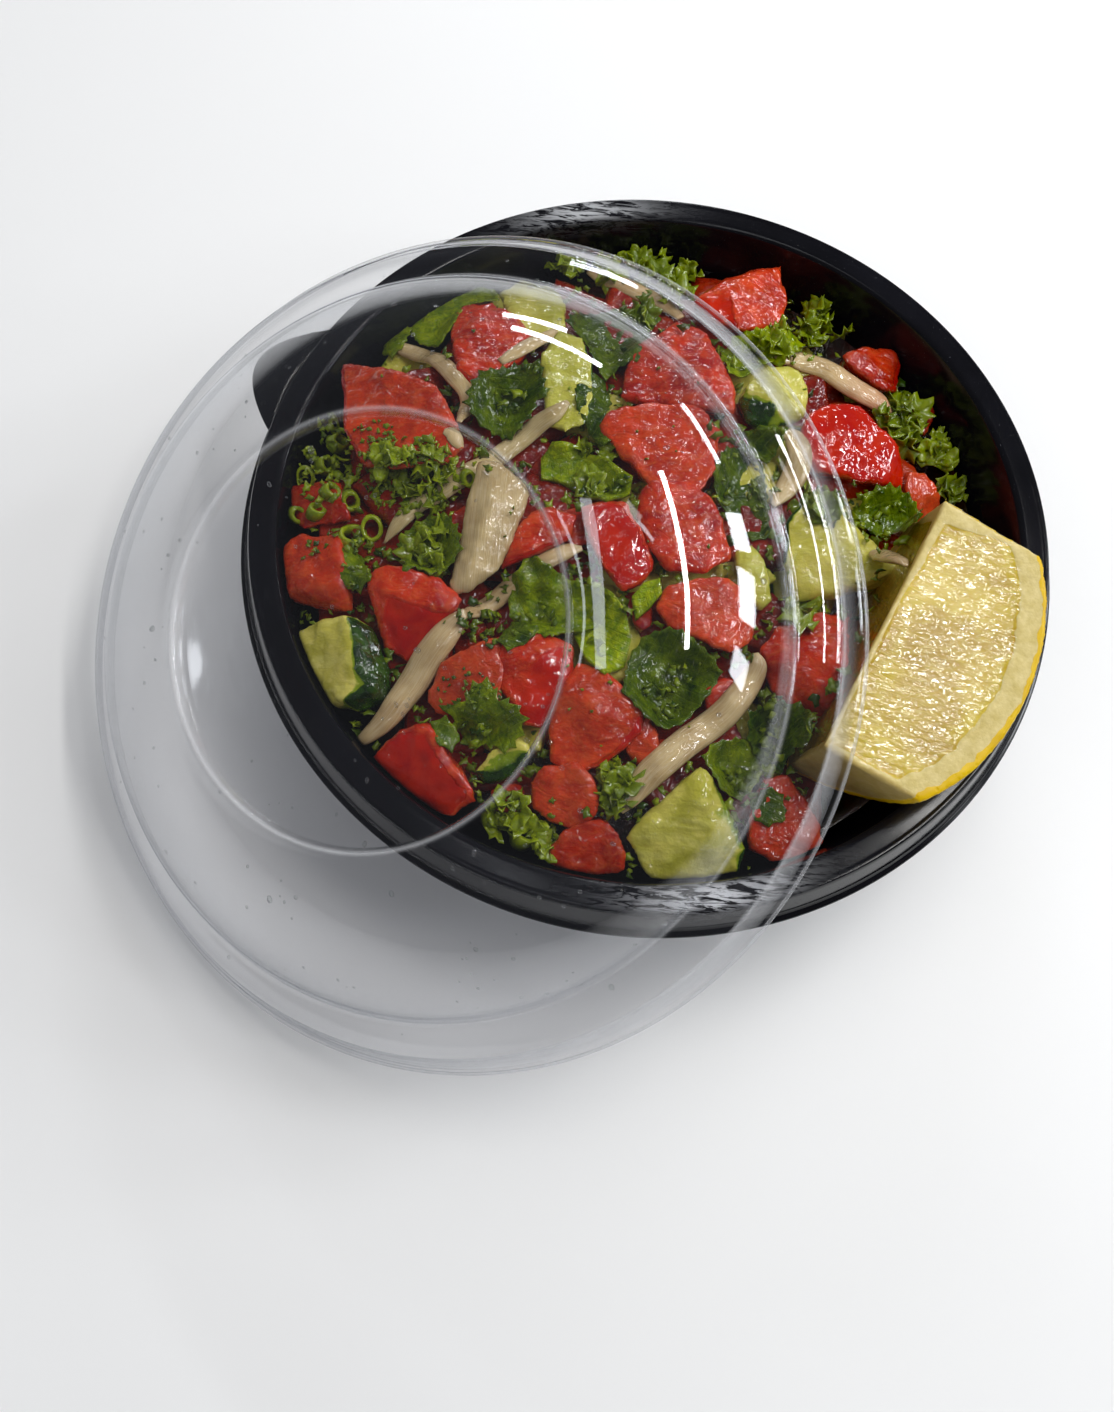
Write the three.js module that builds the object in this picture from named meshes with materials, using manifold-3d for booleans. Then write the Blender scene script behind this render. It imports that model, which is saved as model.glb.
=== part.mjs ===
// Chopped shepherd salad with a lemon wedge in a round black takeaway bowl. Its clear
// domed lid has been taken off and leans over the left half of the bowl: the lid's lip
// stands on the table at the lower left and its skirt lies beside the bowl's rim.
// Millimetres, +Z up, origin at the middle of the bowl's flat underside.
import * as THREE from 'three';
import { mergeVertices } from 'three/addons/utils/BufferGeometryUtils.js';
import Module from 'manifold-3d';

const wasm = await Module();
wasm.setup();

// ---- Driving sizes -------------------------------------------------------
const SEGMENTS = 56;              // steps round every turned shape

// Bowl
const LIP_R = 89.0;               // outermost edge of the rim, 178 mm across
const LIP_Z = 39.5;               // underside of the lip
const LIP_T = 0.8;
const RIDGE_R = 85.9;             // where the flat flange turns down into the skirt
const RIM_Z = 47.9;               // top of the flange, the bowl's height
const MOUTH_R = 80.1;             // inner edge of the flange
const BOWL_T = 0.8;               // wall
const FOOT_R = 46.0;              // flat underside
const WALL = [                    // inside of the wall: radius, height
  [45.0, 0.8], [50.5, 1.4], [55.4, 3.6], [61.8, 9.0], [68.9, 18.0],
  [74.4, 29.0], [77.7, 38.5], [79.5, 46.9],
];

// Opening ear on the lip
const EAR_AZ = 158.0;             // direction of the ear, degrees
const EAR_OUT = 10.7;             // how far it stands out of the lip
const EAR_HALF = 15.5;            // half of its width at the lip
const EAR_T = 0.8;

// Lid, in its own frame: +Z along its axis, lip at height 0
const LID_R = 88.5;               // lip
const LID_T = 0.6;
const LID_FLANGE_R = 84.7;        // where the skirt turns into the sloping shoulder
const LID_FLANGE_H = 6.3;
const DOME_R = 76.3;              // top of the shoulder, where the dome starts
const DOME_FOOT_H = 11.0;
const CROWN_R = 42.0;             // edge of the stacking ring on the dome
const CROWN_H = 36.4;
const PANEL_R = 40.2;             // sunk flat panel inside that ring
const PANEL_H = 33.8;
const LID_TILT = 27.12;           // degrees from upright
const LID_DIR = 220.82;           // the way the top of the lid leans, degrees
const LID_AT = [-42.26, -31.51, 40.42];   // middle of the lip's circle

// Salad heap
const GAP = 0.45;                 // clear of the bowl
const HEAP_TOP = 56.5;
const HEAP_FALL = 11.5;           // drop from the middle to the wall
const HEAP_MID = [-10, -4];
const LUMP_RINGS = [[1, 4], [6, 17], [11, 35], [17, 52], [22, 68]];  // lumps in each ring, ring radius

// Lemon wedge: turned about its core, from the far end to the near end
const LEMON_FAR = [56.2, -3.1, 70.6];    // where the core meets the far cut end
const LEMON_NEAR = [29.7, -54.2, 61.6];  // a point of the core beyond the near cut end
const LEMON_R = 33.2;             // greatest radius
const LEMON_MID = 30.5;           // where along the core it is thickest
const LEMON_LONG = [41.0, 37.5];  // half lengths of the whole lemon, far and near
const LEMON_FACE_TILT = -8;       // the big cut face falls outward, degrees
const LEMON_ANGLE = 99;           // between the two cut faces
const LEMON_END = 52.5;           // the near cut end meets the core here
const LEMON_END_LEAN = 38;        // that cut leans back under the wedge, degrees
const LEMON_END_TURN = 18;        // and runs askew across the big face, degrees

// ---- Helpers -------------------------------------------------------------
const rad = THREE.MathUtils.degToRad;

// Closed geometry with shared vertices, no flat triangles, faces pointing out
function closed(geometry) {
  const g = geometry.clone();
  g.deleteAttribute('normal');
  g.deleteAttribute('uv');
  const m = mergeVertices(g, 1e-4);
  const p = m.getAttribute('position');
  const keep = [];
  let volume = 0;
  const a = new THREE.Vector3(), b = new THREE.Vector3(), c = new THREE.Vector3();
  for (let i = 0; i < m.index.count; i += 3) {
    const [i0, i1, i2] = [m.index.getX(i), m.index.getX(i + 1), m.index.getX(i + 2)];
    if (i0 === i1 || i1 === i2 || i0 === i2) continue;
    keep.push(i0, i1, i2);
    a.fromBufferAttribute(p, i0); b.fromBufferAttribute(p, i1); c.fromBufferAttribute(p, i2);
    volume += a.dot(b.cross(c)) / 6;
  }
  if (volume < 0) for (let i = 0; i < keep.length; i += 3) [keep[i + 1], keep[i + 2]] = [keep[i + 2], keep[i + 1]];
  m.setIndex(keep);
  return m;
}

function solid(geometry) {
  const g = closed(geometry);
  return new wasm.Manifold(new wasm.Mesh({
    numProp: 3,
    vertProperties: new Float32Array(g.getAttribute('position').array),
    triVerts: new Uint32Array(g.index.array),
  }));
}

function geometryOf(manifold) {
  const mesh = manifold.getMesh();
  const pos = new Float32Array(mesh.numVert * 3);
  for (let i = 0; i < mesh.numVert; i++)
    for (let k = 0; k < 3; k++) pos[i * 3 + k] = mesh.vertProperties[i * mesh.numProp + k];
  const g = new THREE.BufferGeometry();
  g.setAttribute('position', new THREE.BufferAttribute(pos, 3));
  g.setIndex(Array.from(mesh.triVerts));
  return closed(g);
}

// A turned solid about +Z from a profile of [radius, height] that starts and ends on the axis
function turned(profile) {
  const g = new THREE.LatheGeometry(profile.map(([r, z]) => new THREE.Vector2(r, z)), SEGMENTS);
  g.rotateX(Math.PI / 2);
  return closed(g);
}

// The profile moved sideways by d, to its left when walking along it
function moved(profile, d) {
  return profile.map(([r, z], i) => {
    const [r0, z0] = profile[Math.max(i - 1, 0)], [r1, z1] = profile[Math.min(i + 1, profile.length - 1)];
    const l = Math.hypot(r1 - r0, z1 - z0);
    return [Math.max(r - d * (z1 - z0) / l, 0), z + d * (r1 - r0) / l];
  });
}

// Inside radius of the bowl at a height
function wallRadius(z) {
  for (let i = 1; i < WALL.length; i++) {
    const [r0, z0] = WALL[i - 1], [r1, z1] = WALL[i];
    if (z <= z1) return r0 + (r1 - r0) * (z - z0) / (z1 - z0);
  }
  return WALL[WALL.length - 1][0];
}

// ---- Bowl ----------------------------------------------------------------
function bowl() {
  const inside = WALL.slice(1);
  const outside = moved(inside, -BOWL_T);
  const profile = [
    [0, 0], [FOOT_R, 0], [FOOT_R + 4.5, 0.55],
    ...outside.slice(1, -1),
    [MOUTH_R + 0.9, RIM_Z - BOWL_T], [RIDGE_R - 0.9, RIM_Z - BOWL_T], [LIP_R - 2.2, LIP_Z], [LIP_R, LIP_Z],
    [LIP_R, LIP_Z + LIP_T], [LIP_R - 1.3, LIP_Z + LIP_T + 0.5],
    [RIDGE_R + 0.1, RIM_Z - 0.7], [RIDGE_R - 0.6, RIM_Z],
    [MOUTH_R + 0.5, RIM_Z], [MOUTH_R, RIM_Z - 0.35],
    ...inside.slice().reverse(),
    [FOOT_R - 1, BOWL_T], [0, BOWL_T],
  ];
  const body = solid(turned(profile));

  // Ear: a rounded lobe in the plane of the lip, drawn across its direction
  const STEPS = 28;
  const shape = new THREE.Shape();
  const inner = LIP_R - 0.9;
  const half = Math.asin(EAR_HALF / inner);
  for (let i = 0; i <= STEPS; i++) {
    const s = -EAR_HALF + 2 * EAR_HALF * i / STEPS;
    const out = EAR_OUT * Math.pow(Math.max(0.5 + 0.5 * Math.cos(Math.PI * s / EAR_HALF), 0), 0.45);
    const base = Math.sqrt(LIP_R * LIP_R - s * s) - 0.1;
    if (i === 0) shape.moveTo(base + out, s); else shape.lineTo(base + out, s);
  }
  for (let i = 0; i <= 8; i++) {
    const a = half * (1 - 2 * i / 8);
    shape.lineTo(inner * Math.cos(a) - 0.2, inner * Math.sin(a));
  }
  const ear = new THREE.ExtrudeGeometry(shape, { depth: EAR_T, bevelEnabled: false });
  ear.rotateZ(rad(EAR_AZ));
  ear.translate(0, 0, LIP_Z + 0.1);
  return geometryOf(body.add(solid(ear)));
}

// ---- Lid -----------------------------------------------------------------
function lidProfile() {
  const outer = [[0, PANEL_H], [PANEL_R, PANEL_H], [PANEL_R + 0.7, CROWN_H - 0.2], [CROWN_R, CROWN_H]];
  const STEPS = 7;                                // dome: one bulging curve down to its foot
  const curve = new THREE.CubicBezierCurve(
    new THREE.Vector2(CROWN_R + 0.6, CROWN_H - 0.3), new THREE.Vector2(CROWN_R + 14, CROWN_H - 4.5),
    new THREE.Vector2(DOME_R - 6.0, DOME_FOOT_H + 14.0), new THREE.Vector2(DOME_R, DOME_FOOT_H));
  for (let i = 0; i <= STEPS; i++) { const p = curve.getPoint(i / STEPS); outer.push([p.x, p.y]); }
  outer.push([LID_FLANGE_R - 0.6, LID_FLANGE_H + 0.5], [LID_FLANGE_R, LID_FLANGE_H - 0.2],
    [LID_R - 1.0, 1.4], [LID_R, 1.0], [LID_R, 0]);
  return outer;
}

function lid() {
  const outer = lidProfile();
  const inner = moved(outer, -LID_T);
  inner[inner.length - 1] = [LID_R - LID_T, 0];
  inner[inner.length - 2] = [LID_R - LID_T - 0.5, 0.8];
  return turned([...outer, ...inner.reverse()]);
}

// ---- Lemon wedge -----------------------------------------------------------
// grow makes it bigger all round, to cut its place out of the heap
function lemon(grow) {
  const far = new THREE.Vector3(...LEMON_FAR), near = new THREE.Vector3(...LEMON_NEAR);
  const STEPS = 16;
  const [longFar, longNear] = LEMON_LONG;
  const profile = [[0, LEMON_MID - longFar - grow]];
  for (let i = 1; i < STEPS; i++) {
    const a = Math.PI * i / STEPS, x = -Math.cos(a);
    profile.push([(LEMON_R + grow) * Math.sin(a), LEMON_MID + x * (x < 0 ? longFar : longNear)]);
  }
  profile.push([0, LEMON_MID + longNear + grow]);
  const whole = solid(turned(profile));

  // Sector of the cut, drawn across the core: the big face and, from it, the second face
  const BIG = 60, END = 90;
  const a0 = rad(LEMON_FACE_TILT), a1 = a0 - rad(LEMON_ANGLE);
  const shape = new THREE.Shape();
  const mid = (a0 + a1) / 2;
  const back = grow / Math.sin(rad(LEMON_ANGLE) / 2);
  shape.moveTo(-back * Math.cos(mid), -back * Math.sin(mid));
  for (let i = 0; i <= 6; i++) {
    const a = a1 + (a0 - a1) * i / 6;
    shape.lineTo(BIG * Math.cos(a) - back * Math.cos(mid), BIG * Math.sin(a) - back * Math.sin(mid));
  }
  const sector = new THREE.ExtrudeGeometry(shape, { depth: END, bevelEnabled: false });
  sector.translate(0, 0, -grow);

  // Oblique trim of the near end: everything beyond a leaning plane goes
  const trim = new THREE.BoxGeometry(200, 200, 80);
  trim.translate(0, 0, 40 + grow);
  trim.rotateX(rad(-LEMON_END_LEAN));
  trim.rotateY(rad(-LEMON_END_TURN));
  trim.rotateZ(a0);
  trim.translate(0, 0, LEMON_END);
  const g = geometryOf(whole.intersect(solid(sector)).subtract(solid(trim)));

  // Own frame to the object's: local z along the core, local x outward, local y up
  const z = near.clone().sub(far).normalize();
  const x = new THREE.Vector3(0, 0, 1).cross(z).normalize().negate();
  if (x.dot(far) < 0) x.negate();
  const y = new THREE.Vector3().crossVectors(z, x);
  if (y.z < 0) { y.negate(); }
  const m = new THREE.Matrix4().makeBasis(x, y, z).setPosition(far);
  g.applyMatrix4(m);
  return closed(g);
}

// ---- Salad heap ------------------------------------------------------------
// Even height of the heap over a point
function heapHeight(x, y) {
  const d = Math.hypot(x - HEAP_MID[0], y - HEAP_MID[1]);
  let h = HEAP_TOP - HEAP_FALL * Math.pow(d / 76, 2);
  h += 5.0 * Math.exp(-(Math.pow(x + 54, 2) + Math.pow(y - 13, 2)) / (2 * 13 * 13));   // high corner under the lid
  h -= 11.0 * Math.exp(-(Math.pow(x - 62, 2) + Math.pow(y + 24, 2)) / (2 * 17 * 17));  // hollow the lemon lies in
  h -= 9.0 * Math.exp(-(Math.pow(x - 72, 2) + Math.pow(y - 6, 2)) / (2 * 9 * 9));      // free space beside the lemon
  return h;
}

// Chunks: each lump is a flat-topped bump, a little above or below the even height
const LUMPS = [];
LUMP_RINGS.forEach(([count, radius], k) => {
  for (let i = 0; i < count; i++) {
    const n = LUMPS.length + 1;
    const wob = Math.sin(n * 12.9898) * 43758.5453, w = wob - Math.floor(wob);
    const wob2 = Math.sin(n * 78.233) * 12543.123, v = wob2 - Math.floor(wob2);
    const a = 2 * Math.PI * (i + 0.35 * w) / count + k * 0.7;
    const r = radius + 5 * (v - 0.5);
    LUMPS.push({ x: r * Math.cos(a), y: r * Math.sin(a), up: 5.0 * (w - 0.45), size: 8.5 + 3.5 * v });
  }
});
function lumpy(x, y) {
  const h = heapHeight(x, y);
  let best = h - 4.0;
  for (const l of LUMPS) {
    const d = Math.hypot(x - l.x, y - l.y) / l.size;
    if (d < 1.5) best = Math.max(best, h + l.up - 4.5 * Math.pow(d, 4));
  }
  return best;
}

function salad() {
  const rows = [];
  const WALL_ROWS = 5, TOP_ROWS = 12;
  for (let j = 0; j < SEGMENTS; j++) {
    const a = 2 * Math.PI * j / SEGMENTS, ca = Math.cos(a), sa = Math.sin(a);
    let edge = Math.min(lumpy(74 * ca, 74 * sa) - 2.2, 45.6);
    const column = [[22, BOWL_T + GAP], [WALL[0][0] - GAP, WALL[0][1] + GAP + 0.05]];
    const rEdge = wallRadius(edge) - GAP - 0.15;
    for (let i = 1; i <= WALL_ROWS; i++) {
      const z = 1.9 + (edge - 1.9) * Math.pow(i / WALL_ROWS, 0.9);
      column.push([wallRadius(z - GAP * 0.8) - GAP - 0.35, z]);
    }
    for (let i = 1; i < TOP_ROWS; i++) {
      const r = rEdge * (1 - Math.pow(i / TOP_ROWS, 1.12)) - 0.6;
      column.push([r, Math.max(lumpy(r * ca, r * sa), 22)]);
    }
    rows.push(column.map(([r, z]) => [r * ca, r * sa, z]));
  }
  const n = rows[0].length, pos = [], index = [];
  for (const column of rows) for (const p of column) pos.push(...p);
  const low = pos.length / 3; pos.push(0, 0, BOWL_T + GAP);
  const high = pos.length / 3; pos.push(0, 0, lumpy(0, 0));
  for (let j = 0; j < SEGMENTS; j++) {
    const k = (j + 1) % SEGMENTS;
    index.push(low, k * n, j * n);
    for (let i = 0; i + 1 < n; i++) {
      index.push(j * n + i, k * n + i, k * n + i + 1, j * n + i, k * n + i + 1, j * n + i + 1);
    }
    index.push(high, j * n + n - 1, k * n + n - 1);
  }
  const g = new THREE.BufferGeometry();
  g.setAttribute('position', new THREE.BufferAttribute(new Float32Array(pos), 3));
  g.setIndex(index);
  return geometryOf(solid(g).subtract(solid(lemon(0.4))));
}

// ---- The object ------------------------------------------------------------
const object = new THREE.Group();
function add(name, geometry, color, roughness, more = {}) {
  const g = geometry.index ? geometry.toNonIndexed() : geometry;
  g.computeVertexNormals();
  const mesh = new THREE.Mesh(closed(g), new THREE.MeshStandardMaterial({ color, roughness, metalness: 0, ...more }));
  mesh.name = name;
  return mesh;
}

object.add(add('bowl', bowl(), 0x0c0c10, 0.25));
object.add(add('salad', salad(), 0xb8402a, 0.4));
object.add(add('lemon_wedge', lemon(0), 0xdcc46a, 0.4));

const lidPlace = new THREE.Group();
lidPlace.position.set(...LID_AT);
const lean = new THREE.Vector3(Math.cos(rad(LID_DIR)), Math.sin(rad(LID_DIR)), 0);
lidPlace.quaternion.setFromAxisAngle(new THREE.Vector3(0, 0, 1).cross(lean).normalize(), rad(LID_TILT));
lidPlace.add(add('lid', lid(), 0xe6ecef, 0.08, { transparent: true, opacity: 0.3 }));
object.add(lidPlace);

export default object;
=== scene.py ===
"""Looks of a chopped shepherd salad in a black takeaway bowl, with a lemon wedge and a leaning clear lid."""

import math
import random

import bmesh
import bpy
import numpy as np
from mathutils import Matrix, Vector, noise
from mathutils.geometry import delaunay_2d_cdt


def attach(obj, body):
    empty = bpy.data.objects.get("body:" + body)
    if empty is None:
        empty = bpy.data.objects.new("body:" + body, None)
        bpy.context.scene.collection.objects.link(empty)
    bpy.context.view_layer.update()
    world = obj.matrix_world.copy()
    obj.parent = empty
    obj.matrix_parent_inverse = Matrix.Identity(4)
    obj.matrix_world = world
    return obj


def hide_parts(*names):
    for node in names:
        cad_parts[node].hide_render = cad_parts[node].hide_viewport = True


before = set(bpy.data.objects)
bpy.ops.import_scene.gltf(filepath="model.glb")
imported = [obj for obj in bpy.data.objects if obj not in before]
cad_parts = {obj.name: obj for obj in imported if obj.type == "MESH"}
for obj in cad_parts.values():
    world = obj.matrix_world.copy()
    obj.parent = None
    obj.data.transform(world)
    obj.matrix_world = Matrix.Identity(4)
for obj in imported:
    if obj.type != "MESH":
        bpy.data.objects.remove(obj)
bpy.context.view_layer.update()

MM = 0.001
rng = np.random.default_rng(11)
random.seed(11)

# ---------------------------------------------------------------- the view
# Camera, in millimetres and in the object's own frame
EYE = np.array([-16.798, -133.089, 285.180])
RIGHT = np.array([0.996532, 0.078007, 0.028967])
UP = np.array([-0.083211, 0.934201, 0.346907])
AHEAD = np.array([0.0, 0.348115, -0.937452])
FOCAL, WIDE, HIGH = 1250.0, 1114.0, 1412.0


def at(px, py, z):
    """The point at height z that shows at that place of the view."""
    d = AHEAD + RIGHT * (px - WIDE / 2) / FOCAL - UP * (py - HIGH / 2) / FOCAL
    return EYE + d * ((z - EYE[2]) / d[2])


# ---------------------------------------------------------------- shape helpers
def srgb(r, g, b, a=1.0):
    f = lambda c: (c / 255 / 12.92) if c <= 10.3 else ((c / 255 + 0.055) / 1.055) ** 2.4
    return (f(r), f(g), f(b), a)


def food(r, g, b):
    """The same, with the warm cast of the room's light painted in: green a little lower, blue halved."""
    c = srgb(r, g, b)
    return (c[0], c[1] * 0.96, c[2] * 0.50, 1.0)


def hills(p, scale, seed=0.0, octaves=2):
    """Smooth noise from -1 to 1 at each point of an array of millimetre points."""
    out = np.zeros(len(p))
    for i, (x, y, z) in enumerate(p):
        v = Vector((x / scale + seed * 7.31, y / scale - seed * 3.17, z / scale + seed))
        out[i] = noise.noise(v) + (0.5 * noise.noise(v * 2.1) if octaves > 1 else 0.0)
    return out


def make(name, verts, faces, material, smooth=True, attrs=None):
    """A mesh object from millimetre points."""
    me = bpy.data.meshes.new(name)
    v = np.asarray(verts, float) * MM
    me.from_pydata(v.tolist(), [], [tuple(int(i) for i in f) for f in faces])
    me.validate()
    me.update()
    ob = bpy.data.objects.new(name, me)
    bpy.context.scene.collection.objects.link(ob)
    for m in material if isinstance(material, (list, tuple)) else [material]:
        me.materials.append(m)
    if smooth:
        me.polygons.foreach_set("use_smooth", [True] * len(me.polygons))
    for key, val in (attrs or {}).items():
        a = me.attributes.new(key, "FLOAT", "POINT")
        a.data.foreach_set("value", np.asarray(val, np.float32))
    return ob


def hold_in(v, gap=0.2):
    """Points that would pass the bowl's wall or floor are pressed back inside it."""
    v = np.array(v, float)
    v[:, 2] = np.maximum(v[:, 2], 1.5)
    r = np.hypot(v[:, 0], v[:, 1])
    soft = np.interp(v[:, 2], [w[1] for w in WALL], [w[0] for w in WALL]) - gap - 1.0
    over = np.clip(r - soft, 0, None)
    over = np.where(v[:, 2] > WALL[-1][1] + 0.2, 0.0, over)
    back = np.where(over > 0, (soft + 1 - np.exp(-over)) / np.maximum(r, 1e-6), 1.0)
    v[:, :2] *= back[:, None]
    return v


class Heap:
    """Collects the bits of one kind into one mesh. Food that lands outside the bowl is left out."""

    def __init__(self, food_in_bowl=False):
        self.held = food_in_bowl
        self.v, self.f, self.a, self.n = [], [], {}, 0

    def add(self, verts, faces, **attrs):
        verts = np.asarray(verts, float)
        c = verts.mean(0)
        if self.held and len(verts) < 400 and math.hypot(c[0], c[1]) > wall_radius(c[2]) - 0.6:
            return
        self.v.append(verts)
        self.f.extend([tuple(int(i) + self.n for i in f) for f in faces])
        for k, val in attrs.items():
            val = np.asarray(val, float)
            if val.ndim == 0:
                val = np.full(len(verts), float(val))
            self.a.setdefault(k, []).append(val)
        self.n += len(verts)

    def build(self, name, material):
        return make(
            name, hold_in(np.concatenate(self.v)) if self.held else np.concatenate(self.v), self.f, material,
            attrs={k: np.concatenate(v) for k, v in self.a.items()},
        )


def turned(profile, steps, closed=True):
    """A ring of quads from a closed loop of (radius, height), no point on the axis unless radius 0."""
    n = len(profile)
    verts, faces = [], []
    idx = []
    for r, z in profile:
        if r < 1e-6:
            idx.append([len(verts)] * steps)
            verts.append((0, 0, z))
        else:
            row = []
            for j in range(steps):
                a = 2 * math.pi * j / steps
                row.append(len(verts))
                verts.append((r * math.cos(a), r * math.sin(a), z))
            idx.append(row)
    for i in range(n if closed else n - 1):
        a, b = idx[i], idx[(i + 1) % n]
        if a[0] == a[1] and b[0] == b[1]:
            continue
        for j in range(steps):
            k = (j + 1) % steps
            q = [a[j], a[k], b[k], b[j]]
            q = [x for t, x in enumerate(q) if x not in q[:t]]
            faces.append(q)
    return np.array(verts, float), faces


def bezier(p0, p1, p2, p3, n):
    t = np.linspace(0, 1, n + 1)[:, None]
    p0, p1, p2, p3 = (np.array(p, float) for p in (p0, p1, p2, p3))
    return ((1 - t) ** 3 * p0 + 3 * (1 - t) ** 2 * t * p1 + 3 * (1 - t) * t * t * p2 + t**3 * p3)


def spline(points, n):
    """Smooth curve through the points, n steps for each span."""
    p = np.array(points, float)
    p = np.vstack([2 * p[0] - p[1], p, 2 * p[-1] - p[-2]])
    out = []
    for i in range(1, len(p) - 2):
        for k in range(n):
            t = k / n
            a, b, c, d = p[i - 1], p[i], p[i + 1], p[i + 2]
            out.append(0.5 * ((2 * b) + (-a + c) * t + (2 * a - 5 * b + 4 * c - d) * t * t + (-a + 3 * b - 3 * c + d) * t**3))
    out.append(p[-2])
    return np.array(out)


def rounded(points, radius, n=4):
    """An open line of (radius, height) with its inner corners rounded off."""
    p = [np.array(q, float) for q in points]
    out = [p[0]]
    for i in range(1, len(p) - 1):
        a, b = p[i - 1] - p[i], p[i + 1] - p[i]
        la, lb = np.linalg.norm(a), np.linalg.norm(b)
        d = min(radius, 0.45 * la, 0.45 * lb)
        s, e = p[i] + a / la * d, p[i] + b / lb * d
        for k in range(n + 1):
            t = k / n
            out.append((1 - t) ** 2 * s + 2 * (1 - t) * t * p[i] + t * t * e)
    out.append(p[-1])
    return np.array(out)


def offset(profile, d):
    p = np.array(profile, float)
    t = np.zeros_like(p)
    t[1:-1] = p[2:] - p[:-2]
    t[0], t[-1] = p[1] - p[0], p[-1] - p[-2]
    t /= np.maximum(np.linalg.norm(t, axis=1, keepdims=True), 1e-9)
    q = p + d * np.stack([-t[:, 1], t[:, 0]], 1)
    q[:, 0] = np.maximum(q[:, 0], 0)
    return q


# ---------------------------------------------------------------- material helpers
class Nodes:
    def __init__(self, name):
        self.mat = bpy.data.materials.new(name)
        self.mat.use_nodes = True
        self.t = self.mat.node_tree
        self.t.nodes.clear()
        self.out = self.t.nodes.new("ShaderNodeOutputMaterial")

    def new(self, kind, **sets):
        n = self.t.nodes.new(kind)
        for k, v in sets.items():
            if k.startswith("_"):
                setattr(n, k[1:], v)
            else:
                key = k.replace("__", " ")
                n.inputs[key].default_value = v
        return n

    def link(self, a, b):
        self.t.links.new(a, b)

    def coords(self, scale=(1000, 1000, 1000)):
        """Object coordinates in millimetres."""
        tc = self.new("ShaderNodeTexCoord")
        m = self.new("ShaderNodeMapping")
        m.inputs["Scale"].default_value = scale
        self.link(tc.outputs["Object"], m.inputs["Vector"])
        return m.outputs[0]

    def noise(self, vec, scale, detail=3.0, rough=0.55, distortion=0.0):
        n = self.new("ShaderNodeTexNoise", Scale=scale, Detail=detail, Roughness=rough, Distortion=distortion)
        self.link(vec, n.inputs["Vector"])
        return n.outputs["Fac"]

    def voronoi(self, vec, scale, feature="F1", out="Distance", rand=1.0):
        n = self.new("ShaderNodeTexVoronoi", _feature=feature, Scale=scale, Randomness=rand)
        self.link(vec, n.inputs["Vector"])
        return n.outputs[out]

    def ramp(self, fac, stops, interp="LINEAR"):
        n = self.new("ShaderNodeValToRGB")
        n.color_ramp.interpolation = interp
        e = n.color_ramp.elements
        while len(e) < len(stops):
            e.new(0.5)
        for s, (pos, col) in zip(e, stops):
            s.position = pos
            s.color = col if hasattr(col, "__len__") else (col, col, col, 1)
        self.link(fac, n.inputs[0])
        return n.outputs["Color"]

    def math(self, op, a, b=None, c=None, clamp=False):
        n = self.new("ShaderNodeMath", _operation=op, _use_clamp=clamp)
        for i, x in enumerate((a, b, c)):
            if x is None:
                continue
            if hasattr(x, "links"):
                self.link(x, n.inputs[i])
            else:
                n.inputs[i].default_value = x
        return n.outputs[0]

    def mix(self, fac, a, b, kind="MIX"):
        n = self.new("ShaderNodeMix", _data_type="RGBA", _blend_type=kind)
        for key, x in ((0, fac), (6, a), (7, b)):
            if hasattr(x, "links"):
                self.link(x, n.inputs[key])
            else:
                n.inputs[key].default_value = x
        return n.outputs[2]

    def attr(self, name):
        n = self.new("ShaderNodeAttribute", _attribute_name=name)
        return n.outputs["Fac"]

    def bump(self, height, strength, distance, normal=None):
        n = self.new("ShaderNodeBump", Strength=strength, Distance=distance)
        self.link(height, n.inputs["Height"])
        if normal is not None:
            self.link(normal, n.inputs["Normal"])
        return n.outputs[0]

    def principled(self, **sets):
        p = self.new("ShaderNodeBsdfPrincipled")
        for k, v in sets.items():
            key = k.replace("__", " ")
            if hasattr(v, "links"):
                self.link(v, p.inputs[key])
            else:
                p.inputs[key].default_value = v
        return p

    def done(self, shader):
        self.link(shader, self.out.inputs["Surface"])
        return self.mat


# ---------------------------------------------------------------- materials
def black_plastic():
    m = Nodes("black_plastic_gloss")
    v = m.coords()
    specks = m.ramp(m.noise(v, 1.9, 2.0, 0.6), [(0.70, 0.0), (0.76, 1.0)])
    smear = m.noise(v, 0.035, 4.0, 0.6)
    lines = m.noise(m.coords((260, 1500, 900)), 1.0, 4.0, 0.7, 0.4)
    col = m.mix(m.ramp(smear, [(0.35, 0.0), (0.7, 1.0)]), srgb(10, 10, 14), srgb(17, 17, 23))
    col = m.mix(m.math("MULTIPLY", specks, 0.35), col, srgb(70, 72, 80))
    rough = m.math("ADD", m.math("MULTIPLY", m.math("MULTIPLY", lines, lines), 0.05), m.math("MULTIPLY", smear, 0.16))
    rough = m.math("ADD", rough, 0.06)
    # painted highlight: near-white streaks on the rim, partly scratches, partly the lamps' highlight on the flange
    # painted in
    wear_and_highlight_streaks = m.ramp(m.noise(m.coords((150, 900, 900)), 1.1, 3.0, 0.75, 0.8), [(0.44, 0.0), (0.54, 1.0)])
    col = m.mix(m.math("MULTIPLY", m.attr("scuff"), wear_and_highlight_streaks), col, srgb(226, 228, 232))
    b = m.bump(m.math("ADD", specks, m.math("MULTIPLY", lines, 0.12)), 0.30, 0.0002)
    p = m.principled(Base__Color=col, Roughness=rough, Normal=b, Specular__IOR__Level=0.26)
    return m.done(p.outputs[0])


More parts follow.
